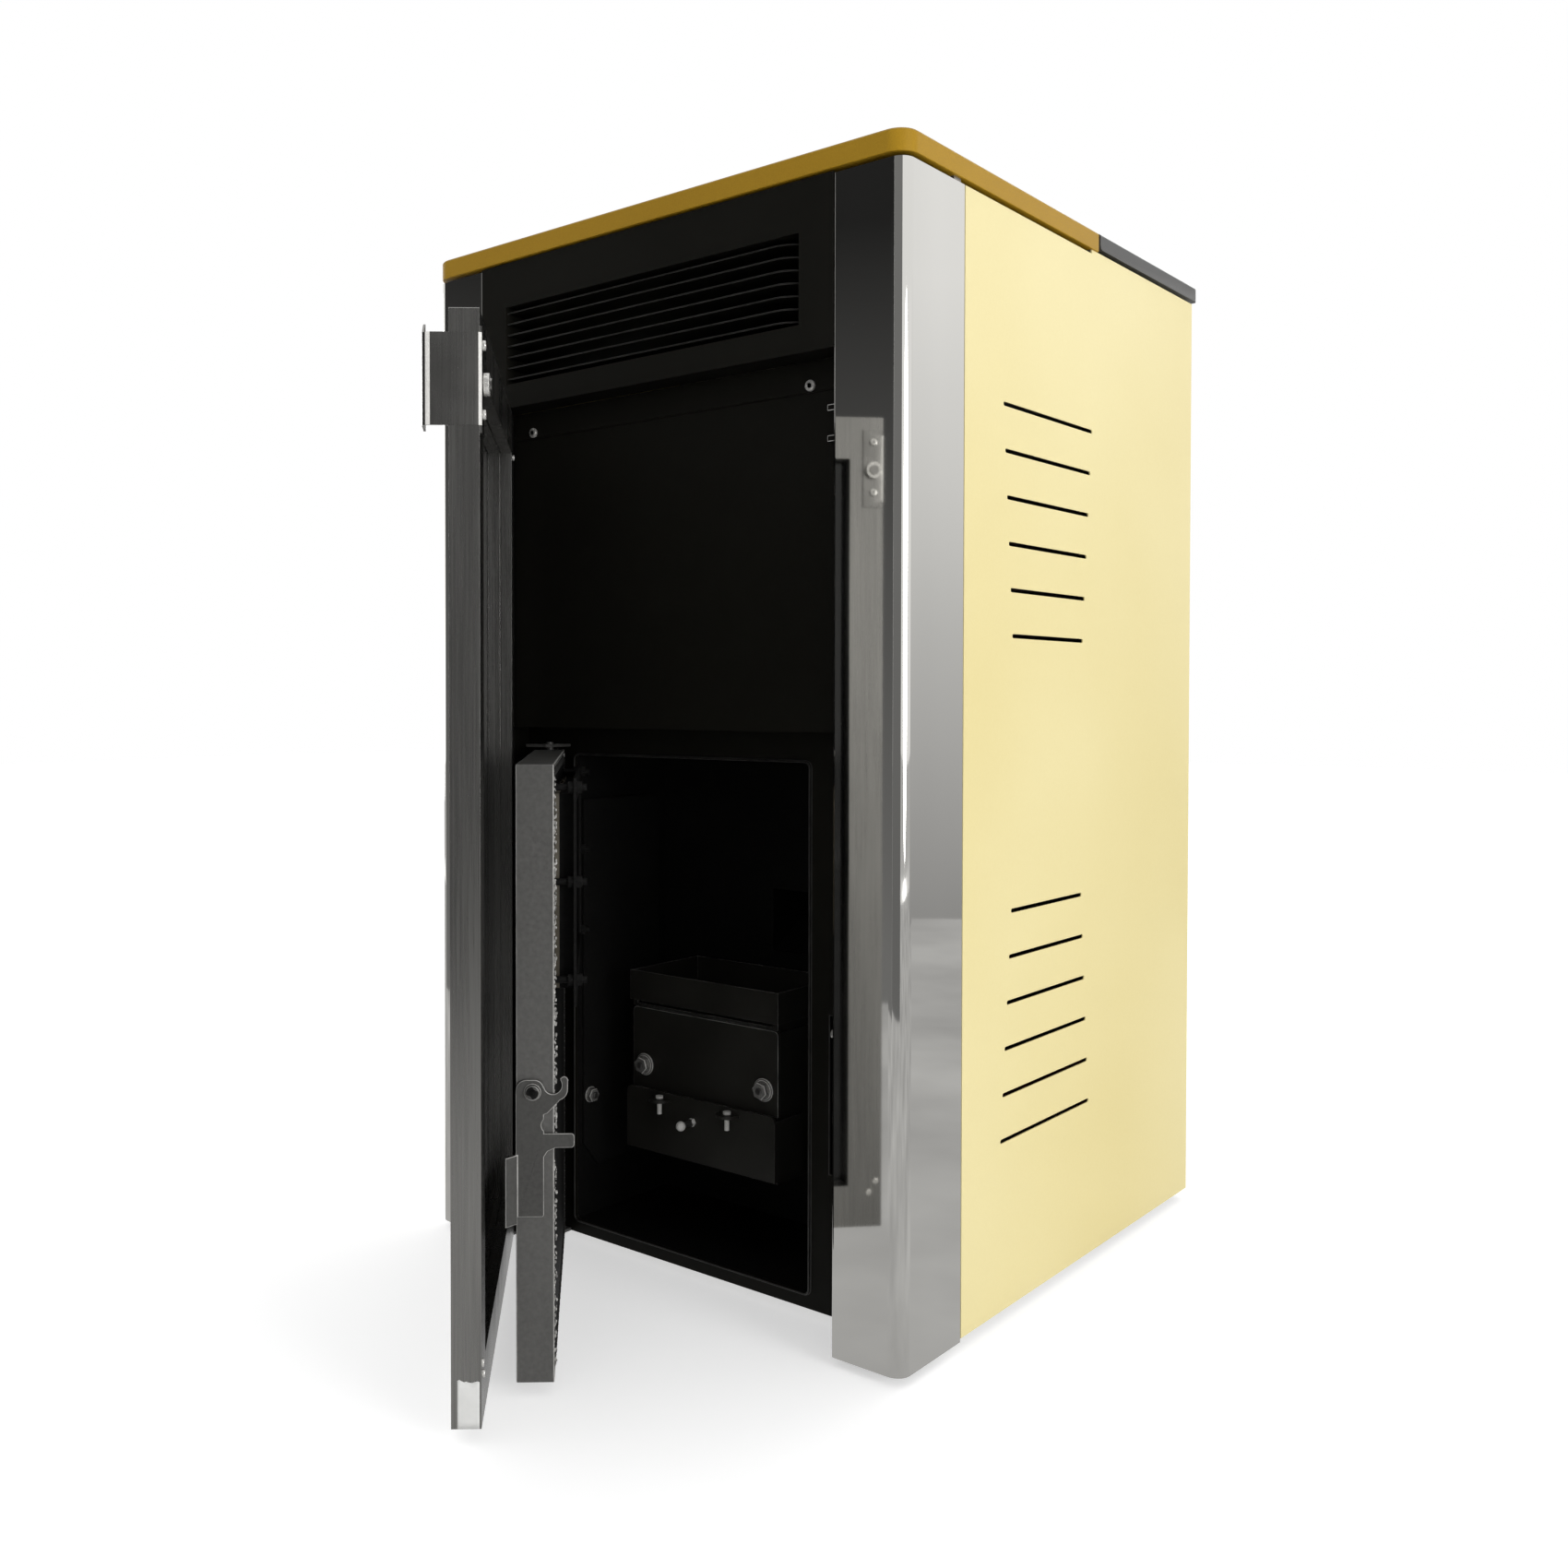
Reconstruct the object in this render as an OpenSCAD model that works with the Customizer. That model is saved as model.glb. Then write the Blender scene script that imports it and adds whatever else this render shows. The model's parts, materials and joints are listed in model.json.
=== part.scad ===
/* [Body] */
// Width over the two side panels
body_w = 590; // [560:5:640]
// Depth from the front of the posts to the rear edge of the side panels
body_d = 640; // [620:5:680]
// Height of the posts, from their lower end to their upper end
post_h = 1034; // [1024:2:1060]
// Height of the levelling feet below the posts
foot_h = 8; // [6:1:12]
// Thickness of the casing sheet
sheet = 1.2; // [1:0.1:1.5]
// Thickness of the black inner sheets
inner_sheet = 1.5; // [1.2:0.1:1.8]

/* [Posts] */
// Width of a post seen from the front
post_face = 71.5; // [68:0.5:74]
// Depth of a post seen from the side
post_side = 101; // [96:1:106]
// Radius of the outer bend of a post
post_r = 14; // [8:1:18]
// Depth of the lip that a post turns into the recess
post_lip = 32; // [28:1:33]

/* [Top] */
// Thickness of the top plate
top_t = 20; // [18:1:26]
// Shadow gap between the posts and the top plate
top_gap = 4; // [3:0.5:5]
// Overhang of the top plate past the casing
top_over = 2; // [1:0.5:3]
// Radius of the front corners of the top plate
top_r = 20; // [12:1:24]
// Depth at which the top plate ends and the hopper lid begins
split_d = 379; // [374:1:383]
// Gap round the hopper lid
lid_gap = 3.5; // [3:0.5:5]
// Overhang of the hopper lid behind the side panels
lid_over = 14; // [12:1:16]
// Radius of the rounded lid corners
lid_r = 6; // [4:1:8]

/* [Side slots] */
// Height of a side slot
slot_h = 4; // [3:0.5:5]
// Distance between slots
slot_pitch = 43; // [38:1:46]
// Slots in each group
slot_count = 6; // [4:1:6]
// Length of the longest slot
slot_long = 193; // [170:1:200]
// Shortening from one slot to the next
slot_step = 7.85; // [5:0.05:9]
// Depth of the slots' centre line
slot_d = 272.5; // [262:0.5:284]
// Height of the lower group's centre
slot_low = 271; // [255:1:285]
// Height of the upper group's centre
slot_high = 745; // [730:1:760]

/* [Louvre] */
// Height of the louvre panel, up to the posts' upper end
louvre_h = 150; // [146:1:156]
// Distance from the side of the recess to the louvre opening
louvre_side = 36.5; // [32:0.5:46]
// Height of the panel below the louvre opening
grille_foot = 25; // [21:1:29]
// Distance from the louvre opening to the posts' upper end
grille_head = 44; // [34:1:49]
// Number of slats
slat_count = 7; // [5:1:8]
// Thickness of a slat
slat_t = 1.6; // [1.2:0.1:2]
// Radius of the slats' front corners
slat_r = 28; // [20:1:29]

/* [Firebox] */
// Depth of the face of the firebox frame
frame_d = 70; // [69:0.5:72]
// Distance from the side of the recess to the firebox opening
fire_side = 71.5; // [69.5:0.5:76]
// Height of the firebox floor
fire_low = 15; // [13:1:18]
// Upper edge of the firebox opening
fire_high = 518; // [512:1:520]
// Depth of the firebox's back wall
fire_back = 220; // [219:1:232]
// Thickness of the firebox plates
plate_t = 4; // [3:0.5:5]
// Distance from the fire door up to the black cover plate
cover_gap = 24; // [22:1:28]

/* [Burner] */
// Half width of the burner
burner_half = 95; // [90:1:97]
// Lower edge of the burner's front plate
burner_low = 165; // [162:1:168]
// Upper edge of the burner's front plate
burner_high = 250; // [246:1:254]
// Height of the ash flap
flap_h = 65; // [58:1:68]

/* [Doors] */
// Angle at which both doors stand open
door_open = 47.3; // [0:0.1:80]
// Depth of the outer door
door_t = 24; // [22:0.5:25]
// Width of the outer door's steel stiles
stile_w = 37; // [34:1:40]
// Height of the outer door's rails
rail_h = 45; // [40:1:50]
// Gap between the outer door and the louvre panel
door_gap = 2; // [2:0.5:8]
// Thickness of the fire door
fire_door_t = 32; // [30:1:34]
// How far the fire door covers the frame above the opening
fire_over = 6; // [3:1:8]
// Radius of the hinge pins
pin_r = 4; // [3:0.5:5]
// Radial clearance of a pin in its hole
fit = 0.05; // [0.03:0.01:0.08]

/* [Handle] */
// Thickness of the handle sheet
handle_t = 1.8; // [1.5:0.1:2.2]
// Height of the handle plate
handle_h = 72; // [66:1:80]
// Distance from the outer door's upper edge down to the handle plate
handle_drop = 19; // [16:1:26]
// How far the handle plate stands in front of the door
handle_out = 14.5; // [10:0.5:18]
// Radius of the catch roller
roller_r = 9; // [7:0.5:10]

/* [Latch] */
// Height of the latch pivot
latch_h = 250.6; // [245:0.1:255]
// Thickness of the latch plate
latch_t = 3; // [2.5:0.5:4]
// Length of the latch below its pivot
latch_len = 105; // [95:1:110]
// Radius of the catch pin in the recess
catch_r = 4; // [3.5:0.5:4.5]

/* [Pellet feed] */
// Distance of the auger from the middle of the stove
auger_x = 28.5; // [20:0.5:34]
// Outer radius of the auger tube
tube_r = 30; // [28:0.5:32]
// Wall of the auger tube
tube_t = 2.5; // [2:0.5:3]
// Outer radius of the auger's flight
flight_r = 26.4; // [24:0.2:26.8]
// Pitch of the auger's flight
flight_pitch = 45; // [38:1:55]
// Radius of the auger's shaft
shaft_r = 8; // [6:0.5:9]

/* [Connections] */
// Radius of the flue spigot
flue_r = 40; // [35:5:50]
// Radius of the air inlet pipe
air_r = 25; // [20:5:30]
// Radius of the water pipes' threaded ends
water_r = 13.2; // [10.5:0.1:16.6]
// Radius of the bore through the water pipes
water_bore = 9; // [6:0.5:9.5]
// How far the connections stand out of the back panel
stub_out = 22; // [16:1:30]

/* [Hidden] */
$fn = 48;
// Gap left for the weld between plates of one piece
seam = 0.05;
half = body_w / 2;
recess = half - post_face;
inner = half - sheet;
jamb_x = recess + sheet;
top_low = post_h + top_gap;
top_high = top_low + top_t;
back_d = body_d + sheet;
lid_front = split_d + lid_gap;
lid_low = top_low + lid_gap;
pan_h = 5;
pan_t = 2;
upright = 30;
hopper_front = lid_front + 8;
hopper_back = body_d - 8;
hopper_half = half - 23;
auger_low = [auger_x, body_d - 120, 150];
auger_tilt = 41.3;
auger_len = 340;
neck_half = 29;
neck_front = auger_low[1] - 79;
neck_back = auger_low[1] - 21;
neck_h = 320;
funnel_h = 620;
chute_low = 305;
chute_high = 372;
fan_mid = [-half + 125, body_d - 110, 200];
fan_r = 80;
fan_half = 30;
fan_out = body_d - 44;
duct_x0 = fan_mid[0] + fan_half;
duct_x1 = duct_x0 + 60.5;
louvre_low = post_h - louvre_h;
louvre_half = recess - louvre_side;
grille_low = louvre_low + grille_foot;
grille_high = post_h - grille_head;
fire_half = recess - fire_side;
jacket_half = recess - 35.5;
jacket_back = fire_back + 42;
jacket_front = frame_d + 42;
jacket_high = post_h - 204;
tube_plate = fire_high + 42;
tubes_high = jacket_high - 30;
door_low = 4;
door_high = louvre_low - door_gap;
door_x0 = -recess + 6.5;
door_x1 = recess - 2;
door_axis = [-recess + 17.5, 12];
fire_x0 = -recess + 51.5;
fire_x1 = recess - 39.5;
fire_d0 = frame_d - fire_door_t - 4;
fire_axis = [fire_x0, fire_d0 + fire_door_t / 2];
fire_door_high = fire_high + fire_over;
cover_low = fire_door_high + cover_gap;
cover_d = 34;
seam_h = louvre_low - 28;
screw_h = seam_h + 6;
screw_x = recess - 45.5;
handle_high = door_high - handle_drop;
handle_low = handle_high - handle_h;
liner_in = 11;
rope_r = 4.5;
window_half = fire_x1 - 64;
window_high = fire_door_high - 37;
window_low = window_high - 152;
shield_half = window_half + 23;
shield_low = window_low - 23;
shield_high = window_high + 23;
shield_d = fire_d0 + fire_door_t + 18;
latch_d = 48;
latch_x = fire_x1 + 0.6;
catch_d = 60;
catch_h = latch_h + 18.4;
roller_h = handle_low + 33.6;
lid_axis = [body_d + 8, top_low - 2];
barrel_r = 4;
knob_h = 143;
flow_h = 300;
return_h = 130;
water_x = half - 60;
pump_d = body_d - 140;
riser_x = jacket_half - 38;
riser_d = jacket_back + 68;
flue_h = fan_mid[2] - 40;
air_x = -40;
air_h = 125;
bead = 2.5;
socket_x = half - 145;
socket_h = 446;
display_x = half - 120;
display_d = split_d - 129;

// Places a piece by its distance from the middle, its depth and its height over the posts' lower end
module at(x, d, h) translate([x, d - body_d / 2, h + foot_h]) children();
module block(x0, x1, d0, d1, h0, h1) at(x0, d0, h0) cube([x1 - x0, d1 - d0, h1 - h0]);
module bar_x(d, h, r, x0, x1) at(x0, d, h) rotate([0, 90, 0]) cylinder(r = r, h = x1 - x0);
module bar_d(x, h, r, d0, d1) at(x, d1, h) rotate([90, 0, 0]) cylinder(r = r, h = d1 - d0);
module bar_h(x, d, r, h0, h1) at(x, d, h0) cylinder(r = r, h = h1 - h0);
module seen_front(d0, d1) at(0, d1, 0) rotate([90, 0, 0]) linear_extrude(d1 - d0) children();
module seen_side(x0, x1) at(x0, 0, 0) rotate([90, 0, 90]) linear_extrude(x1 - x0) children();
module seen_top(h0, h1) at(0, 0, h0) linear_extrude(h1 - h0) children();
module both_sides() {
    children();
    mirror([1, 0, 0]) children();
}

module area(x0, x1, y0, y1) translate([x0, y0]) square([x1 - x0, y1 - y0]);
module corner_cut(r) {
    difference() {
        translate([-1, -1]) square([r + 1, r + 1]);
        translate([r, r]) circle(r);
    }
}
// A rectangle whose corners have their own radii: low left, low right, high right, high left
module soft_area(x0, x1, y0, y1, r) {
    difference() {
        area(x0, x1, y0, y1);
        if (r[0] > 0) translate([x0, y0]) corner_cut(r[0]);
        if (r[1] > 0) translate([x1, y0]) mirror([1, 0]) corner_cut(r[1]);
        if (r[2] > 0) translate([x1, y1]) mirror([1, 0]) mirror([0, 1]) corner_cut(r[2]);
        if (r[3] > 0) translate([x0, y1]) mirror([0, 1]) corner_cut(r[3]);
    }
}
module round_area(x0, x1, y0, y1, r) soft_area(x0, x1, y0, y1, [r, r, r, r]);
module ring_area(x0, x1, y0, y1, w) {
    difference() {
        area(x0, x1, y0, y1);
        area(x0 + w, x1 - w, y0 + w, y1 - w);
    }
}
module hex_nut(across, thick, bore) {
    difference() {
        cylinder(d = across / cos(30), h = thick, $fn = 6);
        translate([0, 0, -1]) cylinder(r = bore, h = thick + 2);
    }
}

module base_pan() {
    color("dimgray") difference() {
        union() {
            block(-inner, inner, frame_d + 5, body_d - sheet, pan_h - pan_t, pan_h);
            for (x = [-140, 120]) block(x, x + 20, frame_d + 15, jacket_back - 12, pan_h, fire_low - plate_t);
        }
        at_feet() cylinder(r = 5.2, h = 40, center = true);
    }
}
foot_x = half - 60;
foot_front = post_side + 19;
foot_back = body_d - 40;
module at_feet() {
    for (x = [-foot_x, foot_x], d = [foot_front, foot_back]) at(x, d, 0) children();
}
module levelling_feet() {
    color("black") at_feet() {
        translate([0, 0, -foot_h]) cylinder(r = 20, h = foot_h - 2);
        translate([0, 0, -3]) cylinder(r = 8, h = 3 + pan_h - pan_t);
        cylinder(r = 5, h = 30);
        translate([0, 0, pan_h]) cylinder(d = 17 / cos(30), h = 8, $fn = 6);
    }
}

frame_high = post_h - 8;
module upright_pair() {
    both_sides() {
        seen_top(pan_h, frame_high) {
            area(inner - 2, inner, frame_d + 5, post_side + 24);
            area(inner - upright, inner, frame_d + 5, frame_d + 7);
        }
        seen_top(pan_h, frame_high) {
            area(inner - 2, inner, body_d - sheet - upright, body_d - sheet);
            area(inner - upright, inner, body_d - sheet - 2, body_d - sheet);
        }
    }
}
module inner_frame() {
    color("gray") {
        upright_pair();
        difference() {
            block(-inner, inner, frame_d + 5, body_d - sheet, frame_high, post_h - sheet);
            block(-inner + 18, inner - 18, frame_d + 23, split_d - 14, frame_high - 1, post_h);
            block(-inner + 18, inner - 18, split_d + 4, body_d - sheet - 5, frame_high - 1, post_h);
        }
        both_sides() for (d = [frame_d + 20, split_d - 8])
            block(inner - 14, inner, d - 6, d + 6, post_h - sheet, top_low);
    }
}

// A post is one folded sheet: face, rounded corner, side and the lip that turns into the recess
module post_profile() {
    bend = 3;
    difference() {
        soft_area(recess, half, 0, post_side, [bend, post_r, 0, 0]);
        soft_area(recess + sheet, half - sheet, sheet, post_side + 20, [bend - sheet, post_r - sheet, 0, 0]);
        area(recess - 1, recess + sheet + 0.5, post_lip, post_side + 1);
    }
}
module right_post() {
    color("silver") seen_top(0, post_h) post_profile();
}
module left_post() {
    color("silver") mirror([1, 0, 0]) seen_top(0, post_h) post_profile();
}

// The black wall between a post's lip and the firebox frame, with the flange that carries the cover plate
module jamb() {
    seen_top(0, louvre_low) area(jamb_x, jamb_x + inner_sheet, 10, frame_d + 5);
    seen_top(cover_low + 2, louvre_low - 8)
        area(jamb_x - 24, jamb_x + inner_sheet, cover_d + inner_sheet, cover_d + 2 * inner_sheet);
}
module right_jamb() {
    color("black") jamb();
}
module left_jamb() {
    color("black") mirror([1, 0, 0]) jamb();
}

function slot_length(i) = slot_long - slot_step * i;
module slot_group(mid, sign) {
    span = slot_pitch * (slot_count - 1) / 2;
    for (i = [0:slot_count - 1]) {
        reach = slot_length(i) / 2;
        h = mid + sign * (span - slot_pitch * i);
        round_area(slot_d - reach, slot_d + reach, h - slot_h / 2, h + slot_h / 2, slot_h / 2 - 0.05);
    }
}
module side_outline() {
    front = post_side + 1.5;
    difference() {
        area(front, body_d, 3, top_low);
        area(front - 1, split_d - 13, post_h, top_low + 1);
        slot_group(slot_high, 1);
        slot_group(slot_low, -1);
    }
}
module side_panel() {
    seen_side(half - sheet, half) side_outline();
    block(half - 16, half, body_d - sheet, body_d, 3, post_h - 1);
    block(half - 14, half, split_d + 4, body_d - sheet, top_low - sheet, top_low);
}
module right_side_panel() {
    color([0.93, 0.87, 0.62]) side_panel();
}
module left_side_panel() {
    color([0.93, 0.87, 0.62]) mirror([1, 0, 0]) side_panel();
}

vent_rows = 8;
module back_panel() {
    color("dimgray") difference() {
        block(-half + 1, half - 1, body_d, back_d, 3, post_h - 4);
        bar_d(fan_mid[0], flue_h, flue_r + 4, body_d - 5, back_d + 5);
        bar_d(air_x, air_h, air_r + 3, body_d - 5, back_d + 5);
        for (h = [flow_h, return_h]) bar_d(water_x, h, water_r + 3, body_d - 5, back_d + 5);
        block(socket_x - 24, socket_x + 24, body_d - 5, back_d + 5, socket_h - 29, socket_h + 29);
        for (i = [0:vent_rows - 1])
            seen_front(body_d - 5, back_d + 5) round_area(-90, 90, 560 + 14 * i, 565 + 14 * i, 2.45);
    }
}

edge_soft = 2;
module top_outline(cut) {
    soft_area(-half - top_over + cut, half + top_over - cut, -top_over + cut, split_d,
        [top_r - cut, top_r - cut, 0, 0]);
}
module top_plate() {
    color([0.69, 0.54, 0.23]) difference() {
        hull() {
            seen_top(top_low, top_high - edge_soft) top_outline(0);
            seen_top(top_low, top_high) top_outline(edge_soft);
        }
        block(display_x - 60.3, display_x + 60.3, display_d - 34.3, display_d + 34.3,
            top_high - 6, top_high + 1);
    }
}
module control_display() {
    color("black") seen_top(top_high - 6, top_high - 0.4)
        round_area(display_x - 60, display_x + 60, display_d - 34, display_d + 34, 3);
}

module louvre_window() {
    area(-louvre_half, louvre_half, grille_low, grille_high);
}
module louvre_panel() {
    edge = recess;
    color("black") {
        seen_front(0, inner_sheet) difference() {
            area(-edge, edge, louvre_low + 2, top_low - 2);
            louvre_window();
        }
        difference() {
            seen_front(inner_sheet - 0.01, post_lip)
                ring_area(-edge, edge, louvre_low, top_low - 2, inner_sheet);
            bar_h(door_axis[0], door_axis[1], pin_r + fit, louvre_low - 5, louvre_low + 5);
        }
        seen_side(-edge, edge) difference() {
            area(0, 2.5, louvre_low, louvre_low + 2.5);
            translate([2.5, louvre_low + 2.5]) circle(1);
        }
        seen_front(inner_sheet - 0.01, 46) ring_area(-louvre_half - inner_sheet, louvre_half + inner_sheet,
            grille_low - inner_sheet, grille_high + inner_sheet, inner_sheet);
    }
}
// Each slat is a level strip whose front corners curve back into the duct
module louvre_slats() {
    rise = (grille_high - grille_low) / slat_count;
    color([0.2, 0.2, 0.2]) for (i = [0:slat_count - 1]) {
        h = grille_low + rise * (i + 0.5);
        seen_top(h - slat_t / 2, h + slat_t / 2)
            soft_area(-louvre_half, louvre_half, 3, 46, [slat_r, slat_r, 0, 0]);
    }
}

module cover_strip() {
    color("black") difference() {
        block(-recess + 0.5, recess - 0.5, cover_d - inner_sheet, cover_d, seam_h, louvre_low);
        for (x = [-screw_x, screw_x]) bar_d(x, screw_h, 2.2, cover_d - 5, cover_d + 5);
    }
}
module cover_plate() {
    color("black") difference() {
        union() {
            block(-jamb_x + 0.2, jamb_x - 0.2, cover_d, cover_d + inner_sheet, cover_low, louvre_low - 9);
            block(-jamb_x + 0.2, jamb_x - 0.2, cover_d, frame_d + 3, cover_low, cover_low + inner_sheet);
        }
        for (x = [-screw_x, screw_x]) bar_d(x, screw_h, 2.2, cover_d - 5, cover_d + 5);
    }
}
module cover_screws() {
    color("silver") for (x = [-screw_x, screw_x]) {
        bar_d(x, screw_h, 4, cover_d - inner_sheet - 2, cover_d - inner_sheet);
        bar_d(x, screw_h, 2.2, cover_d - inner_sheet - 0.1, cover_d + 8);
    }
}

latch_slot = [fire_x1 - 9, fire_x1 + 8, latch_h - latch_len - 12, latch_h + 32];
curl_slot = [fire_x1, fire_x1 + 15, latch_h - latch_len - 12, latch_h - 48];
module front_frame() {
    lip = 2;
    color("black") {
        seen_front(frame_d, frame_d + 3) difference() {
            area(-jamb_x, jamb_x, 0, cover_low);
            round_area(-fire_half, fire_half, fire_low, fire_high, 5);
            area(latch_slot[0], latch_slot[1], latch_slot[2], latch_slot[3]);
            area(curl_slot[0], curl_slot[1], curl_slot[2], curl_slot[3]);
        }
        seen_front(frame_d - 2.7, frame_d + 1) difference() {
            round_area(-fire_half - lip, fire_half + lip, fire_low - lip, fire_high + lip, 5 + lip);
            round_area(-fire_half, fire_half, fire_low, fire_high, 5);
        }
    }
}

// The jaws between which the outer door's roller snaps
catch_jaw = 5.5;
catch_gap = 2 * roller_r + 4;
module door_catch() {
    front = door_t + handle_t + 0.6;
    high = catch_gap + 2 * catch_jaw;
    wide = 23.2;
    color("black") at(recess - 0.3 - wide, front, roller_h - high / 2) difference() {
        cube([wide, cover_d - front, high]);
        translate([-1, -1, catch_jaw]) cube([wide - 2.2, cover_d - front + 2, catch_gap]);
    }
}
module latch_pin() {
    color("silver") {
        bar_x(catch_d, catch_h, catch_r, latch_x + 0.2, jamb_x);
        bar_x(catch_d, catch_h, catch_r + 3, jamb_x - 5, jamb_x);
    }
}
lug_t = 3;
module hinge_lugs() {
    color("dimgray") {
        block(-recess + 0.2, door_axis[0] + 9, 4, frame_d, 0, lug_t);
        block(-jamb_x, -recess + 1, post_lip + 1, frame_d, 0, lug_t);
        bar_h(door_axis[0], door_axis[1], pin_r, 0, 22);
        bar_h(door_axis[0], door_axis[1], pin_r, door_high - 18, louvre_low + 6);
        bar_h(door_axis[0], door_axis[1], pin_r + 3, louvre_low + inner_sheet, louvre_low + 6);
        block(fire_x0 - 18, fire_x0 + 12, fire_axis[1] - 18, frame_d, 0, lug_t);
        bar_h(fire_axis[0], fire_axis[1], pin_r, 0, 26);
        block(fire_x0 - 18, fire_x0 + 12, fire_axis[1] - 18, frame_d, fire_door_high + 3, fire_door_high + 6);
        bar_h(fire_axis[0], fire_axis[1], pin_r, fire_door_high - 22, fire_door_high + 8);
    }
}

module firebox() {
    out = fire_half + plate_t;
    half = fire_half - seam;
    low = fire_low - plate_t;
    color([0.13, 0.13, 0.13]) both_sides()
        block(fire_half, out, frame_d + 3, fire_back + plate_t, low, tube_plate);
    color([0.13, 0.13, 0.13]) difference() {
        block(-half, half, frame_d + 3, fire_back + plate_t, low, tube_plate);
        block(-out, out, frame_d, fire_back, fire_low, fire_high);
        block(-out, out, frame_d + 3 + plate_t, fire_back, fire_high - 1, tube_plate - plate_t);
        block(auger_x - 27.5, auger_x + 27.5, fire_back - 1, fire_back + plate_t + 1, chute_low, chute_high);
        bar_d(air_x, air_h, air_r - 2, fire_back - 1, fire_back + plate_t + 1);
        at_flue_tubes() translate([0, 0, tube_plate - plate_t - 1])
            cylinder(r = flue_tube_r - 3, h = plate_t + 2);
    }
}
flue_tube_r = 24;
module at_flue_tubes() {
    step = (fire_half - 24) / 2;
    for (i = [-1.5:1:1.5], d = [fire_back - 78, fire_back - 24]) at(i * step, d, 0) children();
}
module water_jacket() {
    in = fire_half + plate_t;
    low = fire_low - plate_t;
    color([0.25, 0.25, 0.27]) difference() {
        block(-jacket_half, jacket_half, jacket_front, jacket_back, low, jacket_high);
        block(-jacket_half + 3, jacket_half - 3, jacket_front + 3, jacket_back - 3, low + 3, jacket_high - 3);
        block(-in, in, frame_d, fire_back + plate_t, low - 1, tube_plate);
        seen_side(auger_x - 29.5, auger_x + 29.5) chute_outline(0);
        bar_d(air_x, air_h, air_r + 0.5, fire_back, jacket_back + 1);
        block(duct_x0 + 3, duct_x1 - 3, jacket_back - 5, jacket_back + 5, tubes_high + 4, jacket_high - 8);
        bar_d(riser_x, tubes_high - 20, water_bore, jacket_back - 10, jacket_back + 1);
        bar_d(riser_x, return_h, water_bore, jacket_back - 10, jacket_back + 1);
    }
}
module flue_tubes() {
    wall = 3;
    color("gray") {
        at_flue_tubes() translate([0, 0, tube_plate]) difference() {
            cylinder(r = flue_tube_r, h = tubes_high - tube_plate);
            translate([0, 0, -1]) cylinder(r = flue_tube_r - wall, h = tubes_high - tube_plate + 2);
        }
        difference() {
            block(-jacket_half + 3, jacket_half - 3, jacket_front + 3, jacket_back - 3,
                tubes_high - 4, tubes_high);
            at_flue_tubes() cylinder(r = flue_tube_r + seam, h = tubes_high + 5);
        }
    }
}
module smoke_duct() {
    wall = 2;
    back = fan_mid[1] + 40;
    low = fan_mid[2] - 48;
    color("gray") difference() {
        union() {
            block(duct_x0, duct_x1, jacket_back, jacket_back + 42, low, jacket_high);
            block(duct_x0, duct_x1, jacket_back, back, low, fan_mid[2] + 48);
        }
        block(duct_x0 + wall, duct_x1 - wall, jacket_back + wall, jacket_back + 42 - wall,
            low + wall, jacket_high - wall);
        block(duct_x0 + wall, duct_x1 - wall, jacket_back + wall, back - wall,
            low + wall, fan_mid[2] + 48 - wall);
        block(duct_x0 + 3, duct_x1 - 3, jacket_back - 1, jacket_back + wall + 1,
            tubes_high + 4, jacket_high - 8);
        bar_x(fan_mid[1], fan_mid[2], 34, duct_x0 - 1, duct_x0 + wall + 1);
    }
}

bolt_d = frame_d + 19;
bolt_h = 147;
module liner_outline() {
    difference() {
        polygon([[frame_d + 9, 95], [frame_d + 31, 68], [fire_back - 56, 70], [fire_back - 15, 105],
            [fire_back - 15, fire_high - 48], [frame_d + 9, fire_high - 48]]);
        translate([bolt_d, bolt_h]) circle(4.1);
    }
}
module side_liners() {
    color([0.12, 0.12, 0.12]) both_sides() seen_side(fire_half - 3, fire_half) liner_outline();
}
nut_x = burner_half - 17;
nut_h = burner_low + 25;
front_d = frame_d + 29;
module hex_nuts() {
    color("silver") {
        both_sides() {
            bar_x(bolt_d, bolt_h, 4, fire_half - 12, fire_half);
            at(fire_half - 3 - 6.5, bolt_d, bolt_h) rotate([0, 90, 0]) hex_nut(13, 6.5, 3.9);
            bar_d(nut_x, nut_h, 4, front_d - 14, front_d + 4);
            bar_d(nut_x, nut_h, 10, front_d - 1.6, front_d);
            at(nut_x, front_d - 1.5, nut_h) rotate([90, 0, 0]) hex_nut(13, 6.5, 3.9);
            at(nut_x, front_d - 8.4, nut_h) rotate([90, 0, 0]) hex_nut(10, 4, 3.9);
        }
    }
}

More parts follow.
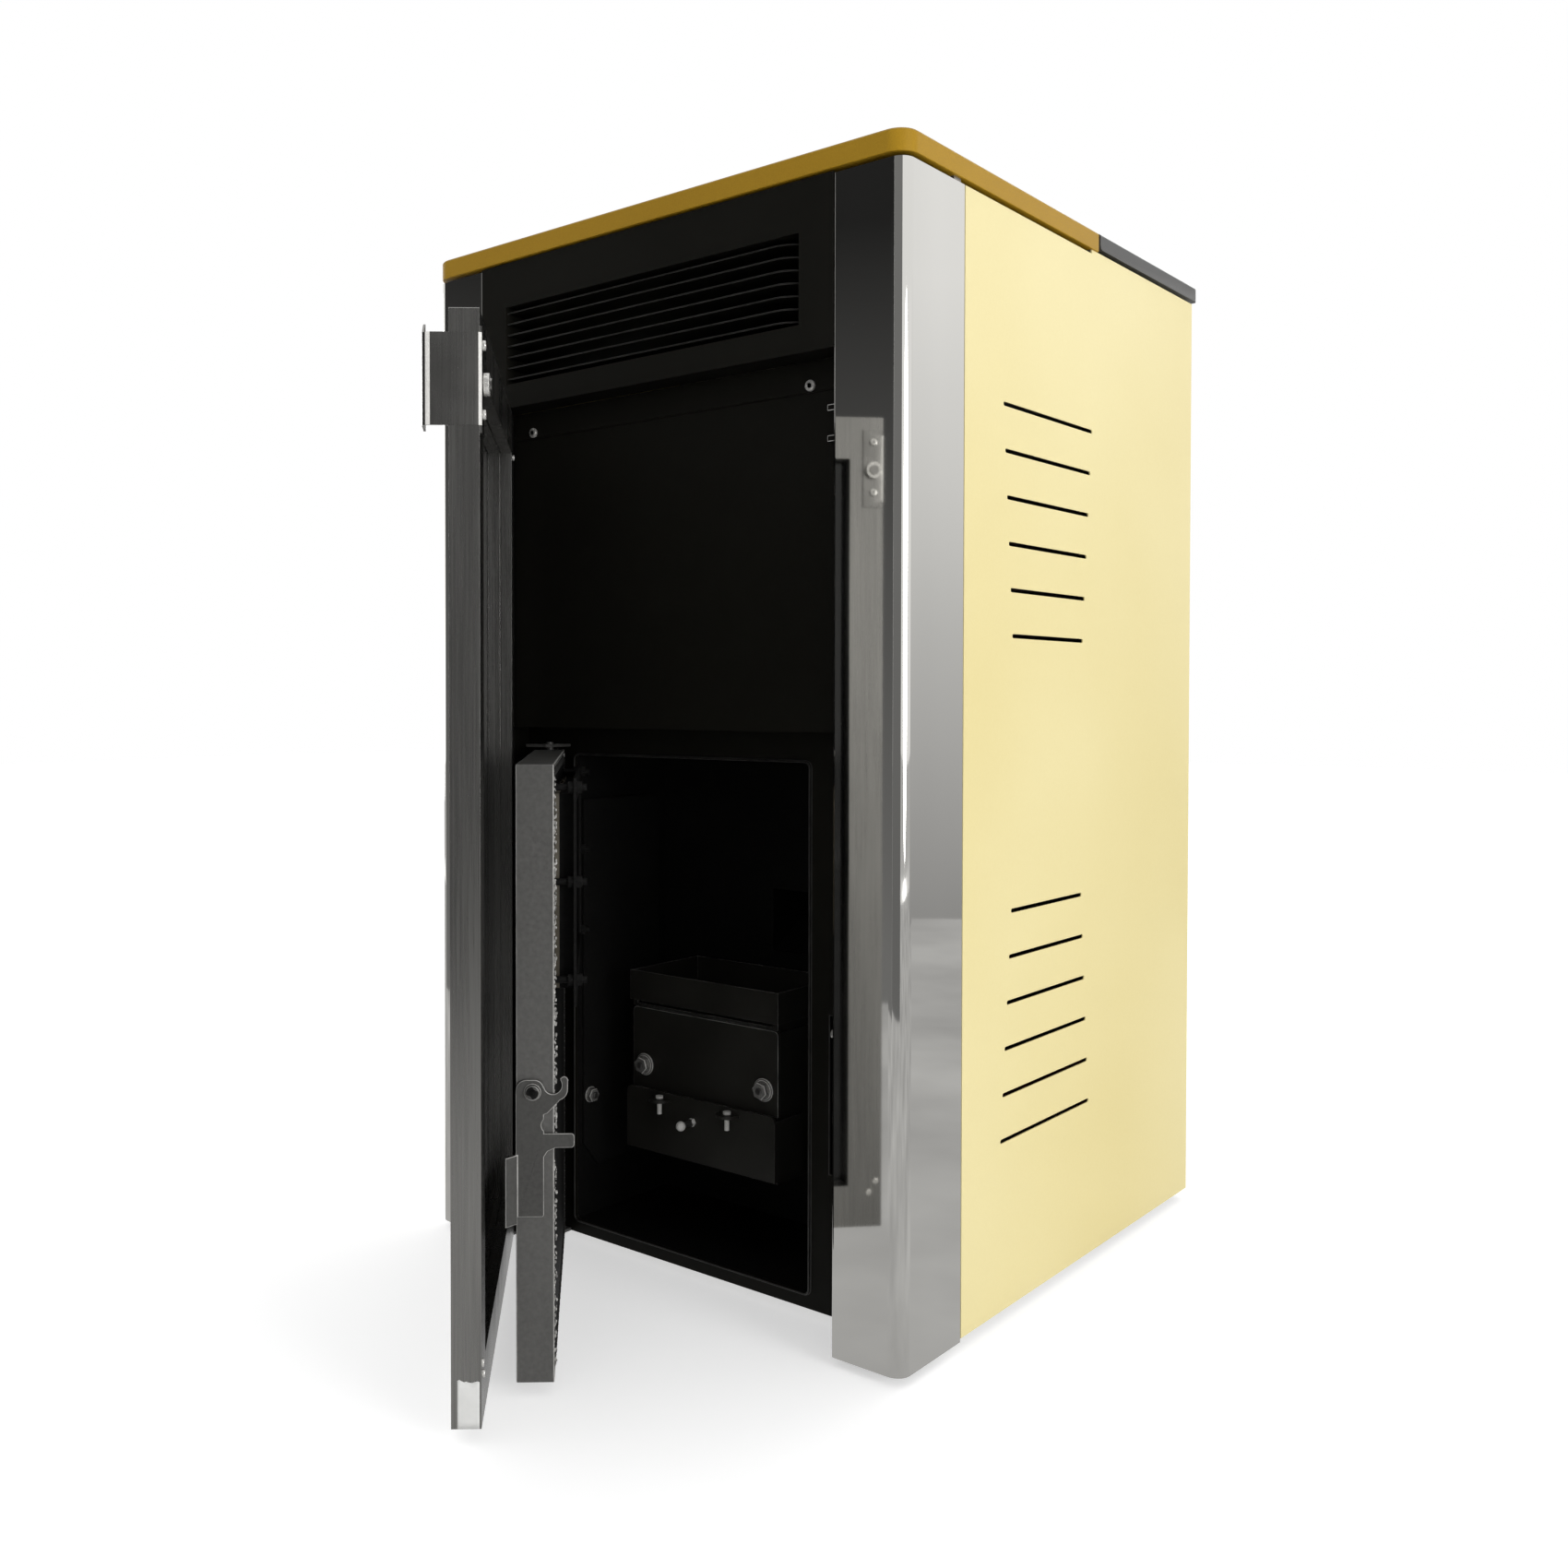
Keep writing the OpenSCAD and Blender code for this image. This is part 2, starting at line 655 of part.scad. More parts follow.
module burner_support() {
    side = burner_half - 3;
    color([0.14, 0.14, 0.14]) difference() {
        block(-side, side, front_d + 4, fire_back, flap_low - 5, burner_high - 2);
        block(-side + 3, side - 3, front_d + 7, fire_back - 3, flap_low - 6, burner_high);
        block(-side + 18, side - 18, front_d, front_d + 9, flap_low + 8, burner_low - 8);
        block(air_x - air_r + 2, air_x + air_r - 2, fire_back - 5, fire_back + 1,
            air_h - air_r + 3, air_h + air_r - 2);
        for (x = [-nut_x, nut_x]) bar_d(x, nut_h, 4, front_d, front_d + 9);
    }
}
flap_low = burner_low - flap_h + 2;
pot_low = 258;
pot_high = 289;
module burner_pot() {
    out = burner_half + 2;
    color([0.15, 0.15, 0.15]) {
        difference() {
            block(-out, out, front_d - 3, 210, pot_low, pot_high);
            block(-out + 3, out - 3, front_d, 207, pot_low + 3, pot_high + 1);
            for (x = [-60:20:60], d = [125:20:185]) bar_h(x, d, 3, pot_low - 1, pot_low + 4);
        }
        block(-out + 6, out - 6, front_d + 9, 200, burner_high - 2, pot_low);
        block(-burner_half, burner_half, front_d, front_d + 4, burner_high + 1.5, burner_high + 4);
        for (x = [-burner_half, burner_half - 6])
            block(x, x + 6, front_d, front_d + 4, burner_high + 1.5, pot_low);
    }
}
module burner_front() {
    color([0.16, 0.16, 0.16]) difference() {
        seen_front(front_d, front_d + 4)
            soft_area(-burner_half, burner_half, burner_low, burner_high, [0, 0, 5, 5]);
        for (x = [-nut_x, nut_x]) bar_d(x, nut_h, 4.2, front_d - 1, front_d + 5);
    }
}
tab_h = 160;
tab_x = [-48, 41];
flap_d = front_d - 8;
tab_pin = flap_d - 4.3;
module burner_flap() {
    wide = burner_half + 2;
    color([0.17, 0.17, 0.17]) {
        difference() {
            seen_front(flap_d, flap_d + 3) soft_area(-wide, wide, flap_low, burner_low + 2, [0, 0, 7, 7]);
            for (x = tab_x) block(x - 12, x + 12, flap_d - 1, flap_d + 4, tab_h - 2, tab_h + 1.5);
            bar_d(-7, knob_h, 3.1, flap_d - 1, flap_d + 4);
        }
        block(-wide, -wide + 2, flap_d + 3, front_d + 40, flap_low, burner_low - 3);
        block(wide - 2, wide, flap_d + 3, front_d + 40, flap_low, burner_low - 3);
    }
}
// Tongues that hold the ash flap, the pins dropped through them and the pull knob
module flap_pins() {
    color("silver") {
        for (x = tab_x) {
            difference() {
                union() {
                    block(x - 11.5, x + 11.5, tab_pin, front_d + 4, tab_h - 1.5, tab_h + 1.5);
                    bar_h(x, tab_pin, 11.5, tab_h - 1.5, tab_h + 1.5);
                }
                bar_h(x, tab_pin, 2.6, tab_h - 5, tab_h + 5);
            }
            bar_h(x, tab_pin, 2.5, tab_h - 15, tab_h + 4);
            bar_h(x, tab_pin, 4, tab_h + 1.5, tab_h + 4);
        }
        bar_d(-7, knob_h, 3, flap_d - 16, flap_d + 7);
        at(-7, flap_d - 19, knob_h) sphere(r = 5);
        at(-7, flap_d, knob_h) rotate([90, 0, 0]) cylinder(d = 9, h = 4, $fn = 6);
        at(-7, flap_d + 7, knob_h) rotate([90, 0, 0]) cylinder(d = 9, h = 4, $fn = 6);
    }
}

module along_auger() at(auger_low[0], auger_low[1], auger_low[2]) rotate([auger_tilt, 0, 0]) children();
module chute_outline(wall) {
    polygon([[fire_back + plate_t, chute_low - 2 + wall], [fire_back + plate_t, chute_high + 2 - wall],
        [auger_low[1] - 230 + wall, 432 - 2 * wall], [auger_low[1] - 182 + 3 * wall, 388 + 3 * wall],
        [auger_low[1] - 182, 372 + wall]]);
}
module pellet_chute() {
    color("gray") difference() {
        seen_side(auger_x - 29.5, auger_x + 29.5) chute_outline(0);
        seen_side(auger_x - 27.5, auger_x + 27.5) chute_outline(2);
        along_auger() cylinder(r = tube_r, h = auger_len + 20);
    }
}
module hopper_shape(cut) {
    hull() {
        seen_top(funnel_h, funnel_h + 1)
            area(-hopper_half + cut, hopper_half - cut, hopper_front + cut, hopper_back - cut);
        seen_top(neck_h, neck_h + 1)
            area(auger_x - neck_half + cut, auger_x + neck_half - cut, neck_front + cut, neck_back - cut);
    }
}
module hopper() {
    wall = 1.5;
    rim = funnel_h + 1 + seam;
    color([0.45, 0.45, 0.47]) {
        for (d = [hopper_front, hopper_back - wall])
            block(-hopper_half, hopper_half, d, d + wall, rim, post_h - sheet);
        both_sides() block(hopper_half - wall, hopper_half, hopper_front + wall + seam,
            hopper_back - wall - seam, rim, post_h - sheet);
        difference() {
            union() {
                hopper_shape(0);
                block(auger_x - neck_half, auger_x + neck_half, neck_front, neck_back, 190, neck_h);
            }
            hopper_shape(wall);
            block(-hopper_half + wall, hopper_half - wall, hopper_front + wall, hopper_back - wall,
                funnel_h, funnel_h + 2);
            block(auger_x - neck_half + wall, auger_x + neck_half - wall, neck_front + wall, neck_back - wall,
                180, neck_h + 2);
            along_auger() translate([0, 0, -30]) cylinder(r = tube_r, h = 260);
            along_auger() translate([-60, -80, -60]) cube([120, 80, 300]);
        }
    }
}
module hopper_grid() {
    grid_h = post_h - 49;
    step = (hopper_half - 32) / 6;
    color("gray") {
        for (i = [-6:6])
            bar_d(i * step, grid_h, 2, hopper_front + 1.5, hopper_back - 1.5);
        for (d = [hopper_front + 70, hopper_back - 70])
            bar_x(d, grid_h - 2.5, 2, -hopper_half + 1.5, hopper_half - 1.5);
    }
}
module auger_tube() {
    bore = tube_r - tube_t;
    color("gray") along_auger() {
        difference() {
            union() {
                cylinder(r = tube_r, h = auger_len);
                translate([-38, -38, 0]) cube([76, 76, 3]);
            }
            translate([0, 0, 6]) cylinder(r = bore, h = auger_len);
            translate([0, 0, -1]) cylinder(r = shaft_r + fit, h = 20);
            translate([-neck_half + 1.5, 0, 40]) cube([2 * neck_half - 3, 60, 74]);
            translate([-20, -60, auger_len - 52]) cube([40, 60, 44]);
        }
        translate([0, 0, auger_len]) difference() {
            cylinder(r = tube_r, h = 4);
            translate([0, 0, -1]) cylinder(r = shaft_r + fit, h = 6);
        }
    }
}
module auger_screw() {
    core = shaft_r - 1;
    half_tooth = 14;
    rim = [for (a = [-half_tooth, 0, half_tooth]) [flight_r * cos(a), flight_r * sin(a)]];
    start = 9;
    reach = auger_len - start - 5;
    color("silver") along_auger() {
        translate([0, 0, start]) linear_extrude(height = reach, twist = -360 * reach / flight_pitch,
            slices = round(20 * reach / flight_pitch), $fn = 24)
            polygon(concat([[core * cos(half_tooth), -core * sin(half_tooth)]], rim,
                [[core * cos(half_tooth), core * sin(half_tooth)]]));
        translate([0, 0, -16]) cylinder(r = shaft_r, h = auger_len + 24);
    }
}
module auger_motor() {
    color([0.3, 0.3, 0.32]) along_auger() {
        difference() {
            translate([-38, -38, -46]) cube([76, 76, 40]);
            translate([0, 0, -18]) cylinder(r = shaft_r + fit, h = 20);
        }
        translate([0, 0, -112]) cylinder(r = 33, h = 67);
        for (x = [-30, 30], y = [-30, 30]) translate([x, y, -6]) cylinder(r = 3, h = 6);
    }
}

module scroll_outline(grow) {
    translate([fan_mid[1], fan_mid[2]]) circle(fan_r + grow);
    area(fan_mid[1], fan_out + grow, flue_h - flue_r - grow, flue_h + flue_r + grow);
}
module fan_housing() {
    wall = 2.5;
    color([0.5, 0.5, 0.52]) difference() {
        union() {
            seen_side(fan_mid[0] - fan_half, fan_mid[0] + fan_half) scroll_outline(0);
            bar_d(fan_mid[0], flue_h, flue_r, fan_out - 6, back_d + stub_out);
            bar_d(fan_mid[0], flue_h, flue_r + bead, back_d, back_d + 2);
        }
        seen_side(fan_mid[0] - fan_half + wall, fan_mid[0] + fan_half - wall) scroll_outline(-wall);
        bar_x(fan_mid[1], fan_mid[2], 34, fan_mid[0] + fan_half - wall - 1, fan_mid[0] + fan_half + 1);
        bar_x(fan_mid[1], fan_mid[2], 5 + fit, fan_mid[0] - fan_half - 1, fan_mid[0]);
        bar_d(fan_mid[0], flue_h, flue_r - 1.5, fan_out + 1, back_d + stub_out + 1);
        intersection() {
            bar_d(fan_mid[0], flue_h, flue_r - 1.5, fan_out - 6, fan_out + 4);
            block(fan_mid[0] - fan_half + wall, fan_mid[0] + fan_half - wall, fan_out - 16, fan_out + 14,
                flue_h - flue_r, flue_h + flue_r);
        }
    }
}
module fan_impeller() {
    blades = 20;
    wide = 2 * fan_half - 22;
    color("silver") at(fan_mid[0] - fan_half + 8, fan_mid[1], fan_mid[2]) rotate([0, 90, 0]) {
        difference() {
            cylinder(r = 66, h = 2);
            translate([0, 0, -1]) cylinder(r = 4.9, h = 4);
        }
        for (i = [0:blades - 1]) rotate([0, 0, i * 360 / blades]) translate([44, 0, 1.5])
            linear_extrude(wide) difference() {
                translate([10, 22]) circle(25);
                translate([10, 22]) circle(23.4);
                area(-40, 60, 14, 60);
                area(-40, 1, -40, 60);
                area(20.5, 60, -40, 60);
            }
        translate([0, 0, -26]) cylinder(r = 5, h = 50);
    }
}
module fan_motor() {
    color([0.2, 0.2, 0.22]) difference() {
        union() {
            bar_x(fan_mid[1], fan_mid[2], 34, fan_mid[0] - 88, fan_mid[0] - 42);
            for (a = [45:90:315])
                bar_x(fan_mid[1] + 28 * cos(a), fan_mid[2] + 28 * sin(a), 3,
                    fan_mid[0] - 43, fan_mid[0] - fan_half);
        }
        bar_x(fan_mid[1], fan_mid[2], 5 + fit, fan_mid[0] - 70, fan_mid[0] - 35);
    }
}

module air_inlet() {
    color("gray") difference() {
        union() {
            bar_d(air_x, air_h, air_r, fire_back + plate_t, back_d + stub_out);
            bar_d(air_x, air_h, air_r + bead, back_d, back_d + 2);
        }
        bar_d(air_x, air_h, air_r - 1.5, fire_back, back_d + stub_out + 1);
    }
}
pipe_r = 11;
module pipe_knee(x, d, h) at(x, d, h) sphere(r = pipe_r);
module water_end(h) {
    difference() {
        union() {
            bar_d(water_x, h, water_r, body_d - 16, back_d + stub_out);
            bar_d(water_x, h, water_r + bead, back_d, back_d + 2);
            at(water_x, body_d - 14, h) rotate([90, 0, 0]) cylinder(d = 30, h = 12, $fn = 6);
        }
        bar_d(water_x, h, water_bore, body_d - 10, back_d + stub_out + 1);
    }
}
module water_pipes() {
    color([0.72, 0.45, 0.3]) {
        bar_d(riser_x, tubes_high - 20, pipe_r, jacket_back, riser_d);
        pipe_knee(riser_x, riser_d, tubes_high - 20);
        bar_h(riser_x, riser_d, pipe_r, flow_h, tubes_high - 20);
        pipe_knee(riser_x, riser_d, flow_h);
        bar_x(riser_d, flow_h, pipe_r, riser_x, water_x);
        pipe_knee(water_x, riser_d, flow_h);
        bar_d(water_x, flow_h, pipe_r, riser_d, body_d - 20);
        water_end(flow_h);
        water_end(return_h);
        bar_d(water_x, return_h, pipe_r, pump_d + 60, body_d - 20);
        bar_d(water_x, return_h, pipe_r, riser_d, pump_d - 60);
        pipe_knee(water_x, riser_d, return_h);
        bar_x(riser_d, return_h, pipe_r, riser_x, water_x);
        pipe_knee(riser_x, riser_d, return_h);
        bar_d(riser_x, return_h, pipe_r, jacket_back, riser_d);
    }
}
module circulation_pump() {
    color([0.55, 0.12, 0.1]) {
        bar_x(pump_d, return_h, 42, water_x - 22, water_x + 22);
        bar_x(pump_d, return_h, 38, water_x - 92, water_x - 21);
        bar_x(pump_d, return_h, 30, water_x - 100, water_x - 91);
        bar_d(water_x, return_h, 18, pump_d - 54, pump_d + 54);
        for (d = [pump_d - 48, pump_d + 60])
            at(water_x, d, return_h) rotate([90, 0, 0]) cylinder(d = 40, h = 12, $fn = 6);
    }
}
module expansion_vessel() {
    mid = [jacket_back + 138, 360];
    left = -half + 55;
    color([0.6, 0.1, 0.1]) {
        difference() {
            union() {
                bar_x(mid[0], mid[1], 108, left, left + 75);
                bar_x(mid[0], mid[1], 96, left - 8, left + 83);
            }
            bar_x(mid[0], mid[1], 105, left + 2, left + 73);
        }
        bar_x(mid[0], mid[1], 12, -inner, left);
    }
}
// Each hinge has a leaf on the back panel, two knuckles and a pin that carries the lid's own knuckle
hinge_x = [-half + 95, half - 125];
hinge_w = 30;
module lid_hinges() {
    side = 12;
    color("silver") for (x = hinge_x) {
        block(x - side, x + hinge_w + side, back_d, back_d + 1.5, top_low - 42, top_low - 12);
        bar_x(lid_axis[0], lid_axis[1], 2, x - side, x + hinge_w + side);
        for (x0 = [x - side, x + hinge_w + 0.3]) {
            bar_x(lid_axis[0], lid_axis[1], barrel_r, x0, x0 + side - 0.3);
            block(x0, x0 + side - 0.3, back_d, lid_axis[0], top_low - 14, lid_axis[1]);
        }
    }
}
switch_axis = [back_d - 2, socket_h + 15];
module mains_socket() {
    front = back_d + 2;
    color([0.12, 0.12, 0.12]) difference() {
        union() {
            block(socket_x - 23.5, socket_x + 23.5, body_d - 22, front, socket_h - 28.5, socket_h + 28.5);
            block(socket_x - 28, socket_x + 28, back_d, front, socket_h - 33, socket_h + 33);
        }
        block(socket_x - 12, socket_x + 12, back_d - 16, front + 1, socket_h - 20, socket_h - 4);
        block(socket_x - 12.3, socket_x + 12.3, back_d - 12, front + 1, socket_h + 4.5, socket_h + 26);
        bar_x(switch_axis[0], switch_axis[1], 1.5 + fit, socket_x - 14.3, socket_x + 14.3);
    }
}
module mains_switch() {
    color([0.7, 0.1, 0.1]) {
        seen_side(socket_x - 12, socket_x + 12) polygon([
            [switch_axis[0] - 5, switch_axis[1] - 8], [switch_axis[0] + 2.4, switch_axis[1] - 9],
            [switch_axis[0] + 4.4, switch_axis[1]], [switch_axis[0] + 7.6, switch_axis[1] + 8],
            [switch_axis[0] - 5, switch_axis[1] + 8]]);
        bar_x(switch_axis[0], switch_axis[1], 1.5, socket_x - 14, socket_x + 14);
    }
}

module swing(axis) {
    at(axis[0], axis[1], 0) rotate([0, 0, -door_open])
        at(-axis[0], -axis[1] + body_d, -2 * foot_h) children();
}
module outer_door_frame() {
    x0 = door_x0;
    x1 = door_x1;
    color([0.62, 0.62, 0.6]) swing(door_axis) difference() {
        seen_front(0, door_t) soft_area(x0, x1, door_low, door_high, [1, 1, 1, 1]);
        seen_front(1.5, door_t + 1) area(x0 + stile_w, x1 - stile_w, door_low + rail_h, door_high - rail_h);
        seen_front(-1, 2)
            area(x0 + stile_w + 8, x1 - stile_w - 8, door_low + rail_h + 8, door_high - rail_h - 8);
        seen_front(11.5, 13)
            area(x0 + stile_w - 2, x1 - stile_w + 2, door_low + rail_h - 2, door_high - rail_h + 2);
        bar_h(door_axis[0], door_axis[1], pin_r + fit, door_low - 1, door_low + 20);
        bar_h(door_axis[0], door_axis[1], pin_r + fit, door_high - 20, door_high + 1);
        block(x1 - handle_t + 0.3, x1 + 1, -1, door_t + 1, handle_low, handle_high);
    }
}
module outer_door_glass() {
    color([0.1, 0.1, 0.1]) swing(door_axis) seen_front(1.5, 5.5)
        area(door_x0 + stile_w, door_x1 - stile_w, door_low + rail_h, door_high - rail_h);
}
// The handle is one bent sheet: a plate over the door's edge, a flange inside it and a curled finger lip
module handle_lip() {
    x1 = door_x1 + 0.3;
    bend = 7;
    translate([x1 - bend, -handle_out]) difference() {
        circle(bend);
        circle(bend - handle_t);
        area(-20, 20, 0.2, 20);
        area(-20, -0.2, -20, 20);
    }
    area(x1 - 18, x1 - bend, -handle_out - bend, -handle_out - bend + handle_t);
}
module door_handle() {
    x1 = door_x1 + 0.3;
    color([0.66, 0.66, 0.64]) swing(door_axis) {
        seen_top(handle_low, handle_high) {
            area(x1 - handle_t, x1, -handle_out, door_t + handle_t);
            area(x1 - 23, x1 - handle_t / 2, door_t, door_t + handle_t);
            handle_lip();
        }
        intersection() {
            seen_top(handle_low - 2, handle_high + 10) handle_lip();
            seen_front(-40, 0) polygon([[x1 - 18, handle_low - 2], [x1 - 18, handle_high + 10],
                [x1 - 15, handle_high + 8], [x1 - 7, handle_high - 1], [x1 - 7, handle_low + 1]]);
        }
        seen_top(handle_low - 6, handle_high + 5) area(x1 - 23, x1 - handle_t, door_t, door_t + handle_t);
        for (h = [handle_low + 10, handle_high - 8]) bar_d(x1 - 12, h, 3, door_t + 1, door_t + handle_t + 2);
        bar_d(roller_x, roller_h, 2.5, door_t + 1, roller_d1 + 0.4);
        bar_d(roller_x, roller_h, 5, roller_d1 + 0.3, roller_d1 + 1.8);
    }
}
roller_x = door_x1 - 11.7;
roller_d1 = door_t + handle_t + 5.3;
module door_roller() {
    color("silver") swing(door_axis) difference() {
        bar_d(roller_x, roller_h, roller_r, door_t + handle_t + 0.5, roller_d1);
        bar_d(roller_x, roller_h, 2.5 + fit, door_t, roller_d1 + 1);
    }
}

module fire_door_shell() {
    wall = 4;
    d1 = fire_d0 + fire_door_t;
    color([0.28, 0.28, 0.27]) swing(fire_axis) difference() {
        union() {
            seen_front(fire_d0, d1) soft_area(fire_x0 + 1, fire_x1, door_low, fire_door_high, [2, 2, 2, 2]);
            bar_h(fire_axis[0], fire_axis[1], pin_r + 5, door_low, door_low + 34);
            bar_h(fire_axis[0], fire_axis[1], pin_r + 5, fire_door_high - 34, fire_door_high);
        }
        difference() {
            block(fire_x0 + 1 + wall, fire_x1 - wall, fire_d0 + wall, d1 + 1,
                door_low + wall, fire_door_high - wall);
            for (h = [door_low, fire_door_high - 34])
                bar_h(fire_axis[0], fire_axis[1], pin_r + 5, h, h + 34);
        }
        block(-window_half, window_half, fire_d0 - 1, fire_d0 + wall + 1, window_low, window_high);
        bar_h(fire_axis[0], fire_axis[1], pin_r + fit, door_low - 1, door_low + 24);
        bar_h(fire_axis[0], fire_axis[1], pin_r + fit, fire_door_high - 24, fire_door_high + 1);
        bar_x(latch_d, latch_h, 3, fire_x1 - wall - 1, fire_x1 + 1);
    }
}
liner_d = fire_d0 + fire_door_t - 8;
module fire_door_liner() {
    x0 = fire_x0 + 5;
    x1 = fire_x1 - 4;
    color([0.2, 0.2, 0.2]) swing(fire_axis) difference() {
        union() {
            block(x0 + 6, x1, liner_d - 2, liner_d, door_low + 4, fire_door_high - 4);
            block(x0 + liner_in, x1 - liner_in, liner_d, liner_d + 7, door_low + 4 + liner_in,
                fire_door_high - 4 - liner_in);
            for (x = [-window_half - 3, window_half])
                block(x, x + 3, fire_d0 + 4, liner_d, window_low, window_high);
        }
        block(-window_half, window_half, fire_d0, liner_d + 8, window_low, window_high);
    }
}
module fire_door_glass() {
    color([0.5, 0.5, 0.45]) swing(fire_axis)
        seen_front(liner_d + 7, liner_d + 11)
            area(-window_half - 9, window_half + 9, window_low - 9, window_high + 9);
}
module glass_retainer() {
    stud_x = shield_half - 6;
    color([0.4, 0.4, 0.4]) swing(fire_axis) {
        seen_front(shield_d - 2.5, shield_d) difference() {
            area(-shield_half, shield_half, shield_low, shield_high);
            area(-shield_half + 22, shield_half - 22, shield_low + 22, shield_high - 22);
        }
        seen_front(liner_d + 11, shield_d - 2.5) difference() {
            area(-window_half - 9, window_half + 9, window_low - 9, window_high + 9);
            area(-window_half - 5, window_half + 5, window_low - 5, window_high + 5);
        }
        for (x = [-stud_x, stud_x], h = [shield_low + 23, shield_low + 108, shield_high - 8]) {
            bar_d(x, h, 3, liner_d + 7, shield_d + 9);
            for (d = [shield_d - 2.5, shield_d + 5])
                at(x, d, h) rotate([90, 0, 0]) cylinder(d = 11.5, h = 5, $fn = 6);
        }
    }
}
// A square run of rope lies in the channel between the liner and the door's rim
module door_rope() {
    x0 = fire_x0 + 5 + liner_in / 2;
    x1 = fire_x1 - 4 - liner_in / 2;
    h0 = door_low + 4 + liner_in / 2;
    h1 = fire_door_high - 4 - liner_in / 2;
    d = liner_d + rope_r;
    bend = 6.5;
    color([0.16, 0.16, 0.15]) swing(fire_axis) {
        for (x = [x0, x1]) bar_h(x, d, rope_r, h0 + bend, h1 - bend);
        for (h = [h0, h1]) bar_x(d, h, rope_r, x0 + bend, x1 - bend);
        for (c = [[x0 + bend, h0 + bend, 180], [x1 - bend, h0 + bend, 270], [x1 - bend, h1 - bend, 0],
            [x0 + bend, h1 - bend, 90]])
            at(c[0], d, c[1]) rotate([90, 0, 0]) rotate([0, 0, c[2]]) rotate_extrude(angle = 90)
                translate([bend, 0]) circle(rope_r, $fn = 24);
    }
}
module latch_pivot() {
    color("silver") swing(fire_axis) {
        bar_x(latch_d, latch_h, 3, fire_x1 - 8, latch_x + latch_t);
        bar_x(latch_d, latch_h, 4, fire_x1, latch_x + latch_t + 0.3);
        bar_x(latch_d, latch_h, 6.3, latch_x + latch_t + 0.3, latch_x + latch_t + 3);
    }
}
// Outline of the latch seen on the door's edge: the pivot boss, the hook, the tongue and the long tail
module latch_outline() {
    tail_left = -14;
    tail_right = 9.5;
    difference() {
        union() {
            soft_area(tail_left, tail_right, -latch_len, 10, [2, 2, 8, 9]);
            polygon([[tail_right - 2, -20], [tail_right + 3, -18], [24, -6], [26.5, 0], [26.5, 4],
                [tail_right - 2, 4]]);
            translate([20, 2]) circle(9.5);
            translate([26.4, 9.6]) circle(3.2);
            polygon([[22.6, 0], [29.4, 0], [29.6, 9.4], [23.2, 9.4]]);
            soft_area(tail_right - 4, 35, -47, -35, [0, 3, 3, 0]);
            polygon([[tail_right - 3, -62], [tail_right - 0.1, -55], [tail_right + 3, -50],
                [tail_right + 12, -46], [tail_right - 3, -44]]);
        }
        translate([17, 5.5]) circle(7.5);
        area(9.5, 23.4, 7, 20);
        translate([14.5, -28]) circle(7);
        area(14.5, 30, -35, -21);
        circle(pin_r + fit);
    }
}
module fire_latch() {
    color([0.33, 0.33, 0.32]) swing(fire_axis) {
        at(0, latch_d, latch_h) rotate([90, 0, 90]) translate([0, 0, latch_x]) linear_extrude(latch_t)
            latch_outline();
        seen_top(latch_h - latch_len - 6, latch_h - 53) polygon([
            [latch_x, latch_d - 14], [latch_x + latch_t, latch_d - 12.5], [latch_x + 12, latch_d - 22],
            [latch_x + 9, latch_d - 23]]);
    }
}

module hopper_lid() {
    out = half + top_over;
    rear = body_d + lid_over;
    color([0.35, 0.35, 0.34]) {
        difference() {
            hull() {
                seen_side(-out + edge_soft, out - edge_soft)
                    soft_area(lid_front, rear - 2, lid_low, top_high, [lid_r, 2, 2, 0]);
                seen_side(-out, out)
                    soft_area(lid_front, rear - 8, lid_low, top_high - edge_soft, [lid_r, 2, 2, 0]);
                seen_side(-out + 6, out - 6) area(rear - 3, rear, lid_low + 1, top_high - edge_soft);
            }
            block(-out + 12, out - 12, lid_front + 10, rear - 30, lid_low - 1, top_high - 3);
        }
        for (x = hinge_x) difference() {
            union() {
                bar_x(lid_axis[0], lid_axis[1], barrel_r, x, x + hinge_w);
                block(x, x + hinge_w, lid_axis[0] - 3, lid_axis[0] + 3, lid_axis[1], lid_low + 1);
            }
            bar_x(lid_axis[0], lid_axis[1], 2 + fit, x - 1, x + hinge_w + 1);
        }
    }
}

base_pan();
levelling_feet();
inner_frame();
left_post();
right_post();
left_jamb();
right_jamb();
left_side_panel();
right_side_panel();
back_panel();
top_plate();
control_display();
louvre_panel();
louvre_slats();
cover_strip();
cover_plate();
cover_screws();
front_frame();
door_catch();
latch_pin();
hinge_lugs();
firebox();
water_jacket();
flue_tubes();
smoke_duct();
side_liners();
hex_nuts();
burner_support();
burner_pot();
burner_front();
burner_flap();
flap_pins();
pellet_chute();
hopper();
hopper_grid();
auger_tube();
auger_motor();
fan_housing();
fan_motor();
air_inlet();
circulation_pump();
expansion_vessel();
water_pipes();
lid_hinges();
mains_socket();
outer_door_frame();
outer_door_glass();
door_handle();
door_roller();
fire_door_shell();
fire_door_liner();
fire_door_glass();
glass_retainer();
door_rope();
latch_pivot();
fire_latch();
hopper_lid();
auger_screw();
fan_impeller();
mains_switch();
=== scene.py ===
"""Looks of a hydronic pellet stove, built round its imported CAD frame."""

import json
import math
import random

import bmesh
import bpy
from mathutils import Matrix, Vector

